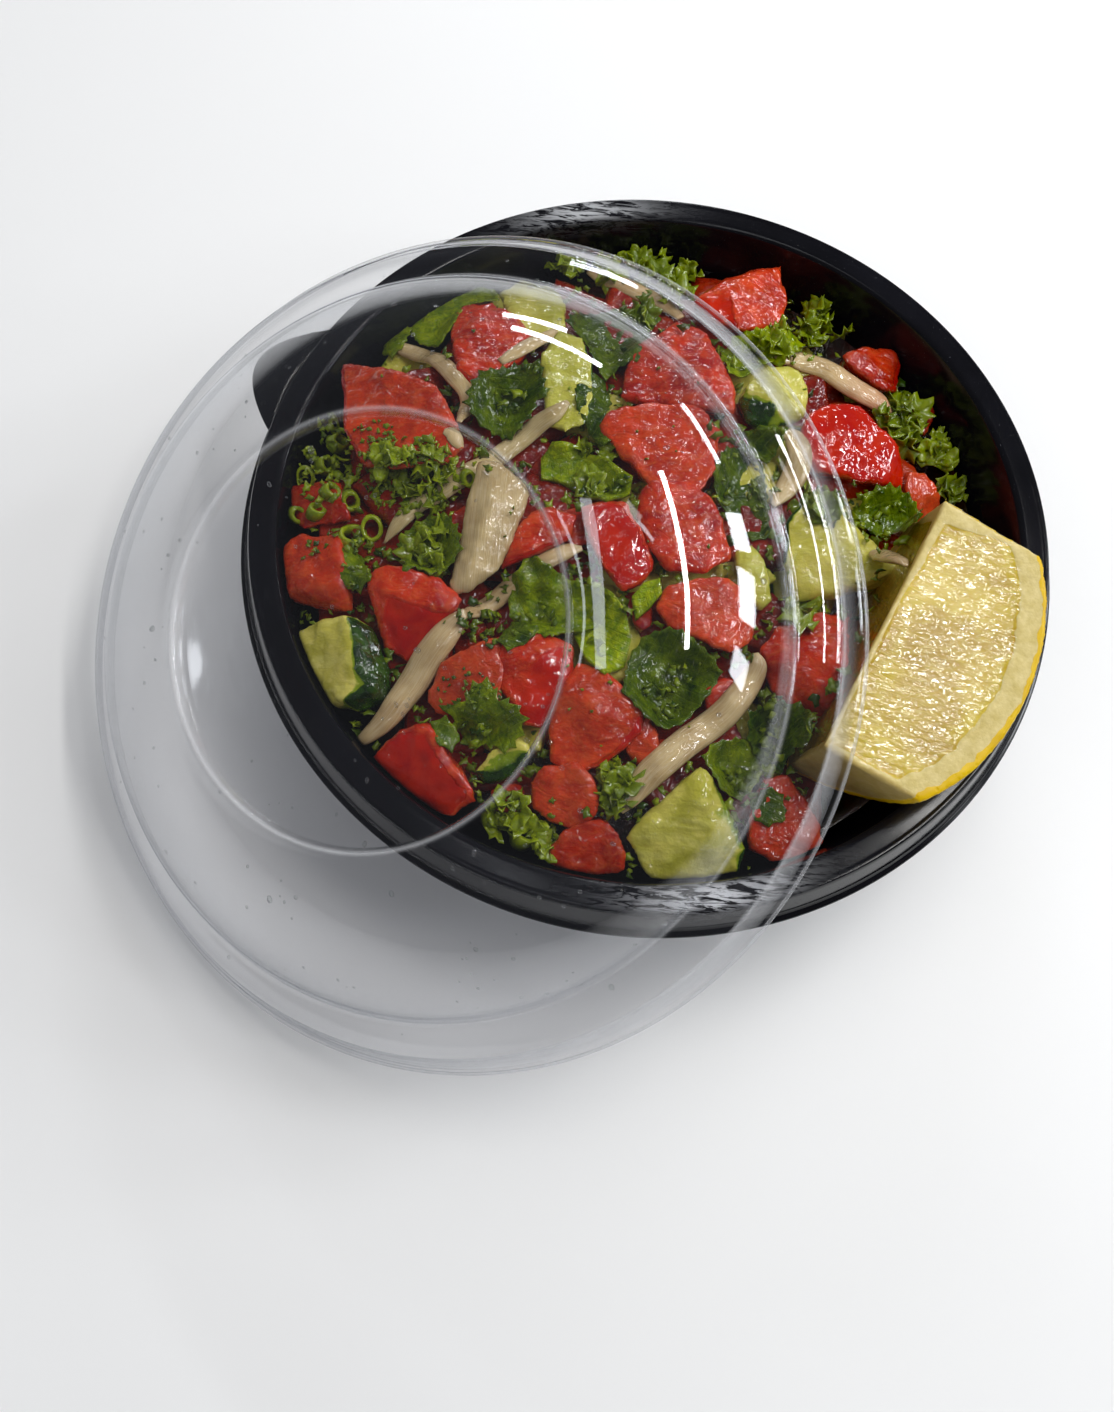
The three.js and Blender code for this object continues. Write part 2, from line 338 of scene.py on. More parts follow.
def clear_plastic():
    m = Nodes("clear_plastic_sheet")
    v = m.coords()
    lw = m.new("ShaderNodeLayerWeight", Blend=0.5)
    facing = lw.outputs["Facing"]
    grazing = m.math("POWER", facing, 3.6)
    scratch = m.ramp(m.noise(m.coords((1400, 180, 500)), 1.3, 1.0, 0.7, 0.6), [(0.62, 0.0), (0.70, 1.0)])
    mirror = m.math("ADD", m.math("MULTIPLY", grazing, 0.85), 0.04, clamp=True)
    wave = m.bump(m.noise(v, 0.07, 1.0, 0.5), 0.05, 0.0010)
    gloss = m.new("ShaderNodeBsdfGlossy", Color=(0.97, 0.98, 1, 1))
    m.link(m.math("ADD", m.math("MULTIPLY", scratch, 0.10), 0.02), gloss.inputs["Roughness"])
    m.link(wave, gloss.inputs["Normal"])
    tint = m.mix(m.math("POWER", facing, 2.6), (0.985, 0.985, 0.99, 1), (0.50, 0.51, 0.53, 1))
    clear = m.new("ShaderNodeBsdfTransparent")
    m.link(tint, clear.inputs["Color"])
    mixer = m.new("ShaderNodeMixShader")
    m.link(mirror, mixer.inputs[0])
    m.link(clear.outputs[0], mixer.inputs[1])
    m.link(gloss.outputs[0], mixer.inputs[2])
    # bends of the pressed sheet are a little milky
    milk = m.new("ShaderNodeBsdfDiffuse", Color=(0.86, 0.87, 0.90, 1))
    bends = m.math("MULTIPLY", m.attr("edge"), 0.20)
    both = m.new("ShaderNodeMixShader")
    m.link(bends, both.inputs[0])
    m.link(mixer.outputs[0], both.inputs[1])
    m.link(milk.outputs[0], both.inputs[2])
    return m.done(both.outputs[0])


def droplet_skin():
    m = Nodes("droplets_water")
    lw = m.new("ShaderNodeLayerWeight", Blend=0.5)
    v = m.coords()
    grazing = m.math("POWER", lw.outputs["Facing"], 3.0)
    mirror = m.math("ADD", m.math("MULTIPLY", grazing, 0.7), 0.10, clamp=True)
    gloss = m.new("ShaderNodeBsdfGlossy", Color=(1, 1, 1, 1), Roughness=0.03)
    m.link(m.bump(m.noise(v, 0.6, 2.0), 0.2, 0.0003), gloss.inputs["Normal"])
    clear = m.new("ShaderNodeBsdfTransparent")
    m.link(m.mix(m.math("POWER", lw.outputs["Facing"], 2.0), (0.97, 0.98, 0.97, 1), (0.55, 0.57, 0.58, 1)), clear.inputs["Color"])
    mixer = m.new("ShaderNodeMixShader")
    m.link(mirror, mixer.inputs[0])
    m.link(clear.outputs[0], mixer.inputs[1])
    m.link(gloss.outputs[0], mixer.inputs[2])
    return m.done(mixer.outputs[0])


def wet(m, v, strength, less=None):
    """Film of juice: small uneven swells that catch the lamps as glints."""
    h = m.noise(v, 0.34, 1.7, 0.42, 1.0)
    if less is not None:
        h = m.math("MULTIPLY", h, m.math("SUBTRACT", 1.0, m.math("MULTIPLY", less, 0.62)))
    return m.bump(h, strength, 0.0018)


def tomato_skin():
    m = Nodes("tomato_cut_and_skin")
    v = m.coords()
    skin = m.attr("skin")
    tone = m.attr("tone")
    pale = m.attr("pale")
    grain = m.noise(v, 1.5, 2.0, 0.65)
    cells = m.voronoi(v, 1.05, "F1")
    blotch = m.noise(v, 0.15, 2.0, 0.55, 0.6)
    veins = m.noise(m.coords((260, 420, 330)), 1.0, 2.0, 0.6, 1.0)
    flesh = m.mix(m.ramp(blotch, [(0.36, 0.0), (0.64, 1.0)]), food(154, 16, 1), food(202, 52, 20))
    flesh = m.mix(m.math("MULTIPLY", m.ramp(veins, [(0.46, 0.0), (0.70, 1.0)]), 0.30), flesh, food(216, 108, 70))
    flesh = m.mix(m.math("MULTIPLY", m.ramp(cells, [(0.0, 1.0), (0.40, 0.0)]), 0.20), flesh, food(222, 124, 84))
    flesh = m.mix(m.math("MULTIPLY", pale, 0.55), flesh, food(204, 96, 64))
    coat = m.mix(m.ramp(blotch, [(0.35, 0.0), (0.65, 1.0)]), food(166, 10, 0), food(190, 36, 0))
    sk = m.ramp(skin, [(0.40, 0.0), (0.56, 1.0)])
    col = m.mix(sk, flesh, coat)
    # painted shade: pieces with a low tone are darkened as if they lay in shade deep in the heap
    shaded_col = m.mix(1.0, col, (0.34, 0.22, 0.20, 1), "MULTIPLY")
    col = m.mix(m.ramp(tone, [(0.0, 0.0), (1.0, 1.0)]), shaded_col, col)
    uneven = m.math("ADD", m.math("MULTIPLY", m.math("ADD", m.math("MULTIPLY", cells, 0.5), grain), 0.14), m.math("MULTIPLY", veins, 0.7))
    b = m.bump(m.math("MULTIPLY", uneven, m.math("SUBTRACT", 1.12, sk)), 0.45, 0.0012)
    rough = m.math("ADD", m.math("MULTIPLY", grain, 0.25), 0.16)
    p = m.principled(
        Base__Color=col, Roughness=rough, Normal=b, Specular__IOR__Level=0.05, Coat__Weight=1.0, Coat__Roughness=0.035, Coat__IOR=1.62,
    )
    m.link(wet(m, v, 0.72, sk), p.inputs["Coat Normal"])
    return m.done(p.outputs[0])


def cucumber_skin():
    m = Nodes("cucumber_cut_and_skin")
    v = m.coords()
    skin, tone = m.attr("skin"), m.attr("tone")
    grain = m.noise(v, 0.9, 2.0, 0.6)
    blotch = m.noise(v, 0.14, 2.0, 0.55, 0.6)
    streak = m.noise(m.coords((90, 420, 300)), 1.0, 2.0, 0.6, 0.8)
    seeds = m.voronoi(m.coords((260, 420, 300)), 1.0, "F1")
    flesh = m.mix(m.ramp(blotch, [(0.3, 0.0), (0.7, 1.0)]), food(176, 172, 76), food(216, 206, 134))
    flesh = m.mix(m.math("MULTIPLY", m.ramp(streak, [(0.5, 0.0), (0.64, 1.0)]), 0.45), flesh, food(224, 220, 160))
    flesh = m.mix(m.math("MULTIPLY", m.ramp(seeds, [(0.12, 1.0), (0.26, 0.0)]), 0.35), flesh, food(236, 226, 172))
    flesh = m.mix(m.math("MULTIPLY", tone, 0.70), flesh, food(134, 152, 30))
    peel = m.mix(m.ramp(m.noise(v, 0.35, 2.0, 0.6), [(0.35, 0.0), (0.7, 1.0)]), food(14, 38, 0), food(44, 80, 2))
    edge = m.ramp(skin, [(0.28, (0, 0, 0, 1)), (0.40, (1, 1, 1, 1))])
    full = m.ramp(skin, [(0.50, 0.0), (0.66, 1.0)])
    col = m.mix(edge, flesh, food(124, 146, 26))
    col = m.mix(full, col, peel)
    b = m.bump(m.math("ADD", grain, streak), 0.40, 0.0006)
    rough = m.math("ADD", m.math("MULTIPLY", grain, 0.25), 0.16)
    p = m.principled(
        Base__Color=col, Roughness=rough, Normal=b, Specular__IOR__Level=0.08, Coat__Weight=1.0, Coat__Roughness=0.035, Coat__IOR=1.62,
    )
    m.link(wet(m, v, 0.60), p.inputs["Coat Normal"])
    return m.done(p.outputs[0])


def onion_flesh():
    m = Nodes("onion_strip")
    v = m.coords()
    tone, along, across = m.attr("tone"), m.attr("along"), m.attr("across")
    comb = m.new("ShaderNodeCombineXYZ")
    m.link(m.math("MULTIPLY", along, 0.10), comb.inputs[0])
    m.link(m.math("MULTIPLY", across, 2.6), comb.inputs[1])
    fibre = m.noise(comb.outputs[0], 1.6, 3.0, 0.6)
    blotch = m.noise(v, 0.16, 2.0)
    col = m.mix(m.ramp(blotch, [(0.34, 0.0), (0.66, 1.0)]), srgb(168, 142, 94), srgb(202, 178, 126))
    pink = m.ramp(tone, [(0.10, 1.0), (0.44, 0.0)])
    green = m.ramp(tone, [(0.54, 0.0), (0.80, 1.0)])
    col = m.mix(m.math("MULTIPLY", pink, 0.62), col, srgb(198, 128, 100))
    col = m.mix(m.math("MULTIPLY", green, 0.70), col, srgb(164, 160, 104))
    col = m.mix(m.math("MULTIPLY", m.ramp(fibre, [(0.44, 0.0), (0.62, 1.0)]), 0.24), col, srgb(238, 226, 200))
    lw = m.new("ShaderNodeLayerWeight", Blend=0.45)
    col = m.mix(m.math("MULTIPLY", lw.outputs["Facing"], 0.42), col, srgb(140, 108, 74))
    b = m.bump(m.math("ADD", fibre, m.math("MULTIPLY", blotch, 0.8)), 0.25, 0.0005)
    p = m.principled(
        Base__Color=col, Roughness=0.30, Normal=b, Specular__IOR__Level=0.1, Coat__Weight=1.0, Coat__Roughness=0.035, Coat__IOR=1.62,
    )
    m.link(wet(m, v, 0.55), p.inputs["Coat Normal"])
    return m.done(p.outputs[0])


def leaf_green():
    m = Nodes("herb_leaf")
    v = m.coords()
    tone, along, across = m.attr("tone"), m.attr("along"), m.attr("across")
    crinkle = m.noise(v, 0.45, 3.0, 0.65, 0.5)
    fine = m.noise(v, 1.6, 1.0, 0.6)
    comb = m.new("ShaderNodeCombineXYZ")
    slant = m.math("SUBTRACT", along, m.math("MULTIPLY", m.math("ABSOLUTE", across), 0.9))
    side = m.math("PINGPONG", m.math("MULTIPLY", slant, 0.42), 0.5)
    rib = m.ramp(side, [(0.0, 1.0), (0.10, 0.0)])
    mid = m.ramp(m.math("ABSOLUTE", across), [(0.0, 1.0), (0.022, 0.0)])
    vein = m.math("MAXIMUM", m.math("MULTIPLY", rib, 0.30), m.math("MULTIPLY", mid, 0.55))
    # deep and lit are a shaded and a lit copy of the same green: the tone attribute mixes them as painted light and
    # shade
    deep = m.mix(m.ramp(crinkle, [(0.35, 0.0), (0.68, 1.0)]), food(14, 38, 0), food(48, 80, 0))
    lit = m.mix(m.ramp(crinkle, [(0.35, 0.0), (0.68, 1.0)]), food(104, 134, 0), food(168, 182, 10))
    col = m.mix(tone, deep, lit)
    col = m.mix(vein, col, food(112, 132, 44))
    h = m.math("SUBTRACT", m.math("ADD", crinkle, m.math("MULTIPLY", fine, 0.3)), m.math("MULTIPLY", vein, 0.5))
    b = m.bump(h, 0.75, 0.0009)
    p = m.principled(
        Base__Color=col, Roughness=m.math("ADD", m.math("MULTIPLY", fine, 0.3), 0.16), Normal=b,
        Specular__IOR__Level=0.06, Coat__Weight=0.6, Coat__Roughness=0.035, Coat__IOR=1.6,
    )
    m.link(wet(m, v, 0.6), p.inputs["Coat Normal"])
    return m.done(p.outputs[0])


def herb_bits():
    m = Nodes("chopped_herb_leaf")
    v = m.coords()
    fine = m.noise(v, 0.8, 2.0, 0.6)
    # deep and lit are a shaded and a lit copy of the same green: the tone attribute mixes them as painted light and
    # shade
    deep = m.mix(fine, food(14, 40, 0), food(54, 86, 0))
    lit = m.mix(fine, food(96, 128, 0), food(172, 184, 12))
    col = m.mix(m.attr("tone"), deep, lit)
    p = m.principled(
        Base__Color=col, Roughness=0.3, Normal=m.bump(fine, 0.5, 0.0006),
        Specular__IOR__Level=0.3, Coat__Weight=0.8, Coat__Roughness=0.06, Coat__IOR=1.6,
    )
    return m.done(p.outputs[0])


def lemon_flesh():
    m = Nodes("lemon_pulp_pith_rind")
    v = m.coords()
    pulp, rind, pith = m.attr("pulp"), m.attr("rind"), m.attr("pith")
    along, across = m.attr("along"), m.attr("across")
    comb = m.new("ShaderNodeCombineXYZ")
    m.link(m.math("ADD", m.math("MULTIPLY", along, 0.95), m.math("MULTIPLY", across, 0.22)), comb.inputs[0])
    m.link(m.math("MULTIPLY", across, 0.30), comb.inputs[1])
    sacs = m.noise(comb.outputs[0], 0.85, 2.0, 0.5, 1.2)
    cell = m.voronoi(comb.outputs[0], 0.85, "F1")
    blotch = m.noise(v, 0.075, 2.0, 0.5, 0.4)
    fruit = m.mix(m.ramp(blotch, [(0.38, 0.0), (0.64, 1.0)]), food(170, 138, 12), food(198, 174, 58))
    fruit = m.mix(m.math("MULTIPLY", m.ramp(cell, [(0.10, 1.0), (0.62, 0.0)]), 0.28), fruit, food(208, 190, 84))
    fruit = m.mix(m.math("MULTIPLY", m.ramp(sacs, [(0.56, 0.0), (0.66, 1.0)]), 0.30), fruit, food(222, 206, 112))
    white = m.mix(m.ramp(m.noise(v, 0.5, 2.0, 0.6), [(0.3, 0.0), (0.7, 1.0)]), srgb(198, 178, 108), srgb(218, 200, 140))
    peel = m.mix(m.ramp(m.noise(v, 0.12, 2.0), [(0.35, 0.0), (0.7, 1.0)]), food(206, 168, 0), food(226, 192, 14))
    pores = m.voronoi(v, 0.75, "F1")
    peel = m.mix(m.math("MULTIPLY", m.ramp(pores, [(0.0, 1.0), (0.30, 0.0)]), 0.25), peel, food(176, 138, 0))
    col = m.mix(m.ramp(pulp, [(0.40, 0.0), (0.60, 1.0)]), white, fruit)
    # painted shade on the second cut face and the trimmed end: mixed toward a shaded olive
    col = m.mix(m.math("MULTIPLY", pith, 0.70), col, food(150, 116, 30))
    rk = m.ramp(rind, [(0.42, 0.0), (0.58, 1.0)])
    col = m.mix(rk, col, peel)
    height = m.mix(m.ramp(pulp, [(0.4, 0.0), (0.6, 1.0)]), m.noise(v, 1.2, 2.0), m.math("SUBTRACT", sacs, m.math("MULTIPLY", cell, 0.5)))
    height = m.mix(rk, height, m.ramp(pores, [(0.0, 0.0), (0.35, 1.0)]))
    b = m.bump(height, 0.22, 0.0006)
    rough = m.mix(m.ramp(pulp, [(0.4, 0.0), (0.6, 1.0)]), (0.55, 0.55, 0.55, 1), (0.24, 0.24, 0.24, 1))
    rough = m.mix(rk, rough, (0.34, 0.34, 0.34, 1))
    p = m.principled(
        Base__Color=col, Roughness=rough, Normal=b, Specular__IOR__Level=0.25,
        Coat__Weight=m.math("MULTIPLY", pulp, 1.0), Coat__Roughness=0.06, Coat__IOR=1.7,
    )
    dash = m.new("ShaderNodeCombineXYZ")
    m.link(m.math("ADD", m.math("MULTIPLY", along, 1.0), m.math("MULTIPLY", across, 0.35)), dash.inputs[0])
    m.link(m.math("MULTIPLY", across, 0.42), dash.inputs[1])
    m.link(m.bump(m.noise(dash.outputs[0], 0.80, 2.0, 0.5, 0.8), 0.75, 0.0007), p.inputs["Coat Normal"])
    return m.done(p.outputs[0])


def core_in_painted_shade():
    m = Nodes("salad_core_painted_shade")
    v = m.coords()
    a = m.noise(v, 0.10, 4.0, 0.6, 0.5)
    c = m.noise(v, 0.5, 4.0, 0.6)
    # painted shade: the core is dark red-brown and green, so what shows of it between the pieces reads as shade
    col = m.mix(m.ramp(a, [(0.44, 0.0), (0.56, 1.0)]), food(38, 6, 2), food(12, 20, 0))
    col = m.mix(m.ramp(c, [(0.55, 0.0), (0.7, 1.0)]), col, food(66, 16, 8))
    b = m.bump(c, 0.6, 0.0015)
    p = m.principled(Base__Color=col, Roughness=0.25, Normal=b, Coat__Weight=0.5, Coat__Roughness=0.1)
    return m.done(p.outputs[0])


def floor_paint():
    m = Nodes("pale_table")
    v = m.coords((1, 1, 1))
    col = m.mix(m.noise(v, 3.0, 3.0), (0.87, 0.87, 0.875, 1), (0.90, 0.90, 0.90, 1))
    p = m.principled(Base__Color=col, Roughness=0.55)
    return m.done(p.outputs[0])


BLACK, CLEAR, DROPS = black_plastic(), clear_plastic(), droplet_skin()
TOMATO, CUCUMBER, ONION = tomato_skin(), cucumber_skin(), onion_flesh()
LEAF, HERB, LEMON, CORE = leaf_green(), herb_bits(), lemon_flesh(), core_in_painted_shade()

# ---------------------------------------------------------------- bowl
LIP_R, LIP_Z, RIDGE_R, RIM_Z, MOUTH_R = 89.0, 39.5, 85.9, 47.9, 80.1
WALL = [(45.0, 0.8), (50.5, 1.4), (55.4, 3.6), (61.8, 9.0), (68.9, 18.0), (74.4, 29.0), (77.7, 38.5), (79.5, 46.9)]


def wall_radius(z):
    return float(np.interp(z, [w[1] for w in WALL], [w[0] for w in WALL]))


def build_bowl():
    wall = spline(WALL, 5)
    wall_out = offset(wall, -0.8)
    top_in = rounded([wall[-3], (MOUTH_R - 0.1, RIM_Z - 0.5), (MOUTH_R + 0.9, RIM_Z - 0.02), (83.1, RIM_Z - 0.05)], 1.1, 8)
    flange = rounded([(83.1, RIM_Z - 0.05), (84.6, RIM_Z - 0.12), (85.1, RIM_Z + 0.0), (85.75, RIM_Z - 0.05), (86.1, RIM_Z - 0.9),
                      (87.5, LIP_Z + 2.0), (88.0, LIP_Z + 1.15), (88.75, LIP_Z + 0.95), (LIP_R, LIP_Z + 0.55), (LIP_R - 0.05, LIP_Z + 0.05)], 0.45, 4)
    under = rounded([(LIP_R - 0.05, LIP_Z + 0.05), (LIP_R - 0.6, LIP_Z), (87.0, LIP_Z + 0.35), (85.1, RIM_Z - 1.1), (84.4, RIM_Z - 0.85),
                     (MOUTH_R + 1.0, RIM_Z - 0.85), tuple(wall_out[-4])], 0.4, 3)
    outer_down = wall_out[3:-4][::-1]
    foot = [(50.4, 0.62), (48.6, 0.18), (47.0, 0.0), (30.0, 0.0), (0.0, 0.0)]
    loop = [(0.0, 0.8), (30.0, 0.8)] + [tuple(p) for p in wall[:-3]]
    loop += [tuple(p) for p in top_in] + [tuple(p) for p in flange[1:]] + [tuple(p) for p in under[1:]]
    loop += [tuple(p) for p in outer_down] + foot
    clean = [loop[0]]
    for p in loop[1:]:
        if math.hypot(p[0] - clean[-1][0], p[1] - clean[-1][1]) > 0.03:
            clean.append(p)
    v, f = turned(clean, 224, closed=False)
    h = Heap()
    h.add(v, f)
    # ear: rounded lobe in the plane of the lip with a turned-down edge
    az, out, half, t = math.radians(158.0), 10.7, 15.5, 0.8
    n = 48
    outline = []
    for i in range(n + 1):
        s = -half + 2 * half * i / n
        o = out * max(0.5 + 0.5 * math.cos(math.pi * s / half), 0) ** 0.45
        outline.append((math.sqrt(LIP_R**2 - s * s) - 0.1 + o, s))
    rows = []
    for x, s in outline:
        base = math.sqrt((LIP_R - 0.9) ** 2 - s * s * 0.98)
        reach = x - base
        line = []
        for k, (share, z) in enumerate([(0.0, 0.55), (0.35, 0.62), (0.7, 0.62), (0.9, 0.55), (0.985, 0.30), (1.0, 0.0), (0.985, -0.05), (0.9, 0.0), (0.5, 0.0), (0.0, 0.0)]):
            xx, zz = base + reach * share, LIP_Z + 0.15 + z
            line.append((xx * math.cos(az) - s * math.sin(az), xx * math.sin(az) + s * math.cos(az), zz))
        rows.append(line)
    ev = np.array(rows, float).reshape(-1, 3)
    w = len(rows[0])
    ef = [(i * w + k, (i + 1) * w + k, (i + 1) * w + (k + 1) % w, i * w + (k + 1) % w) for i in range(n) for k in range(w)]
    h.add(ev, ef)
    # small grip bumps on the ear
    for a, r in [(164.2, 92.5), (160.4, 92.6), (157.6, 92.6), (156.6, 94.8), (154.4, 92.5), (150.9, 92.3)]:
        a = math.radians(a)
        bv, bf = turned([(0, 0.55), (0.35, 0.5), (0.62, 0.30), (0.78, 0.0)], 14, closed=False)
        bv = bv + np.array([r * math.cos(a), r * math.sin(a), LIP_Z + 0.70])
        h.add(bv, bf)
    allv = np.concatenate(h.v)
    # mask for the near-white rim streaks at the near rim (az -79) and far rim (az 104): scratches and painted highlight
    # where the flange catches the lamps
    az_, r_ = np.degrees(np.arctan2(allv[:, 1], allv[:, 0])), np.hypot(allv[:, 0], allv[:, 1])
    band = np.exp(-(((r_ - 83.0) / 2.6) ** 4)) * (allv[:, 2] > 46)
    scuff = band * (np.exp(-(((az_ + 79) / 9.0) ** 2)) + 0.55 * np.exp(-(((az_ - 104) / 9.0) ** 2)))
    h.a["scuff"] = [scuff]
    ob = h.build("bowl_shell", BLACK)
    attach(ob, "root")
    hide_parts("bowl")
    return ob


# ---------------------------------------------------------------- lid
TILT, LEAN = math.radians(27.12), math.radians(220.82)
LID_AT = np.array([-42.26, -31.51, 40.42])
_ax = Vector((-math.sin(LEAN), math.cos(LEAN), 0))
LID_TURN = np.array(Matrix.Rotation(TILT, 3, _ax))


def lid_world(p):
    return np.asarray(p, float) @ LID_TURN.T + LID_AT


def lid_line():
    top = rounded([(0.0, 33.8), (24.0, 33.82), (39.6, 33.8), (40.3, 34.1), (40.75, 36.0), (41.4, 36.4), (42.2, 36.3), (43.0, 35.85)], 0.45, 5)
    dome = bezier((43.0, 35.85), (56.0, 31.9), (70.1, 25.0), (75.9, 11.9), 26)
    foot = rounded([tuple(dome[-2]), (76.2, 10.9), (76.9, 10.2), (78.0, 9.75), (79.6, 9.3), (81.2, 8.7), (82.6, 7.9), (83.6, 7.25), (84.45, 6.85), (84.9, 5.9), (87.2, 1.75), (87.7, 1.3), (88.3, 1.2), (88.5, 0.85), (88.5, 0.0)], 0.6, 4)
    line = [tuple(p) for p in top] + [tuple(p) for p in dome[1:-1]] + [tuple(p) for p in foot]
    clean = [line[0]]
    for p in line[1:]:
        if math.hypot(p[0] - clean[-1][0], p[1] - clean[-1][1]) > 0.05:
            clean.append(p)
    return np.array(clean)


def build_lid():
    outer = lid_line()
    inner = offset(outer, -0.55)
    inner[0] = (0.0, outer[0][1] - 0.55)
    inner[-1] = (outer[-1][0] - 0.55, 0.0)
    loop = [tuple(p) for p in outer] + [tuple(p) for p in inner[::-1]]
    v, f = turned(loop, 256, closed=False)
    # a pressed sheet is never quite true
    a = np.arctan2(v[:, 1], v[:, 0])
    v[:, 2] += 0.10 * np.sin(3 * a + 0.7) * (np.hypot(v[:, 0], v[:, 1]) / 88) ** 2 * (v[:, 2] > 1.0)
    r = np.hypot(v[:, 0], v[:, 1])
    edge = sum(k * np.exp(-(((r - c) / w) ** 2)) for c, w, k in ((41.3, 0.45, 1.0), (76.3, 0.35, 0.7), (84.7, 0.32, 0.8), (88.3, 0.35, 1.0)))
    ob = make("lid_shell", lid_world(v), f, CLEAR, attrs={"edge": edge})
    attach(ob, "root")
    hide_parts("lid")
    return ob


# ---------------------------------------------------------------- lemon wedge
L_FAR, L_NEAR = np.array([56.2, -3.1, 70.6]), np.array([29.7, -54.2, 61.6])
L_R, L_MID, L_LONG = 33.2, 30.5, (41.0, 37.5)
L_TILT, L_ANGLE = -8.0, 92.0
L_CORNER, L_RIND_SIDE, L_UNDER_SIDE = (3.7, 56.0), (24.4, 55.0), (22.1, 58.5)  # where the trim meets the core edge and the rind


def lemon_axes():
    z = L_NEAR - L_FAR
    z /= np.linalg.norm(z)
    x = np.cross([0, 0, 1.0], z)
    x /= -np.linalg.norm(x)
    if x @ L_FAR < 0:
        x = -x
    y = np.cross(z, x)
    if y[2] < 0:
        y = -y
    return x, y, z


def voxel(ob, size, smooth=1, factor=0.5):
    """Applies an even remesh of that size in millimetres and a little smoothing, and gives back points and faces."""
    m = ob.modifiers.new("r", "REMESH")
    m.mode, m.voxel_size, m.adaptivity = "VOXEL", size * MM, 0.0
    if smooth:
        s = ob.modifiers.new("s", "SMOOTH")
        s.iterations, s.factor = smooth, factor
    dg = bpy.context.evaluated_depsgraph_get()
    dg.update()
    me = ob.evaluated_get(dg).to_mesh()
    v = np.zeros(len(me.vertices) * 3)
    me.vertices.foreach_get("co", v)
    n = np.zeros(len(me.vertices) * 3)
    me.vertices.foreach_get("normal", n)
    faces = [tuple(p.vertices) for p in me.polygons]
    ob.evaluated_get(dg).to_mesh_clear()
    bpy.data.objects.remove(ob)
    return v.reshape(-1, 3) / MM, n.reshape(-1, 3), faces


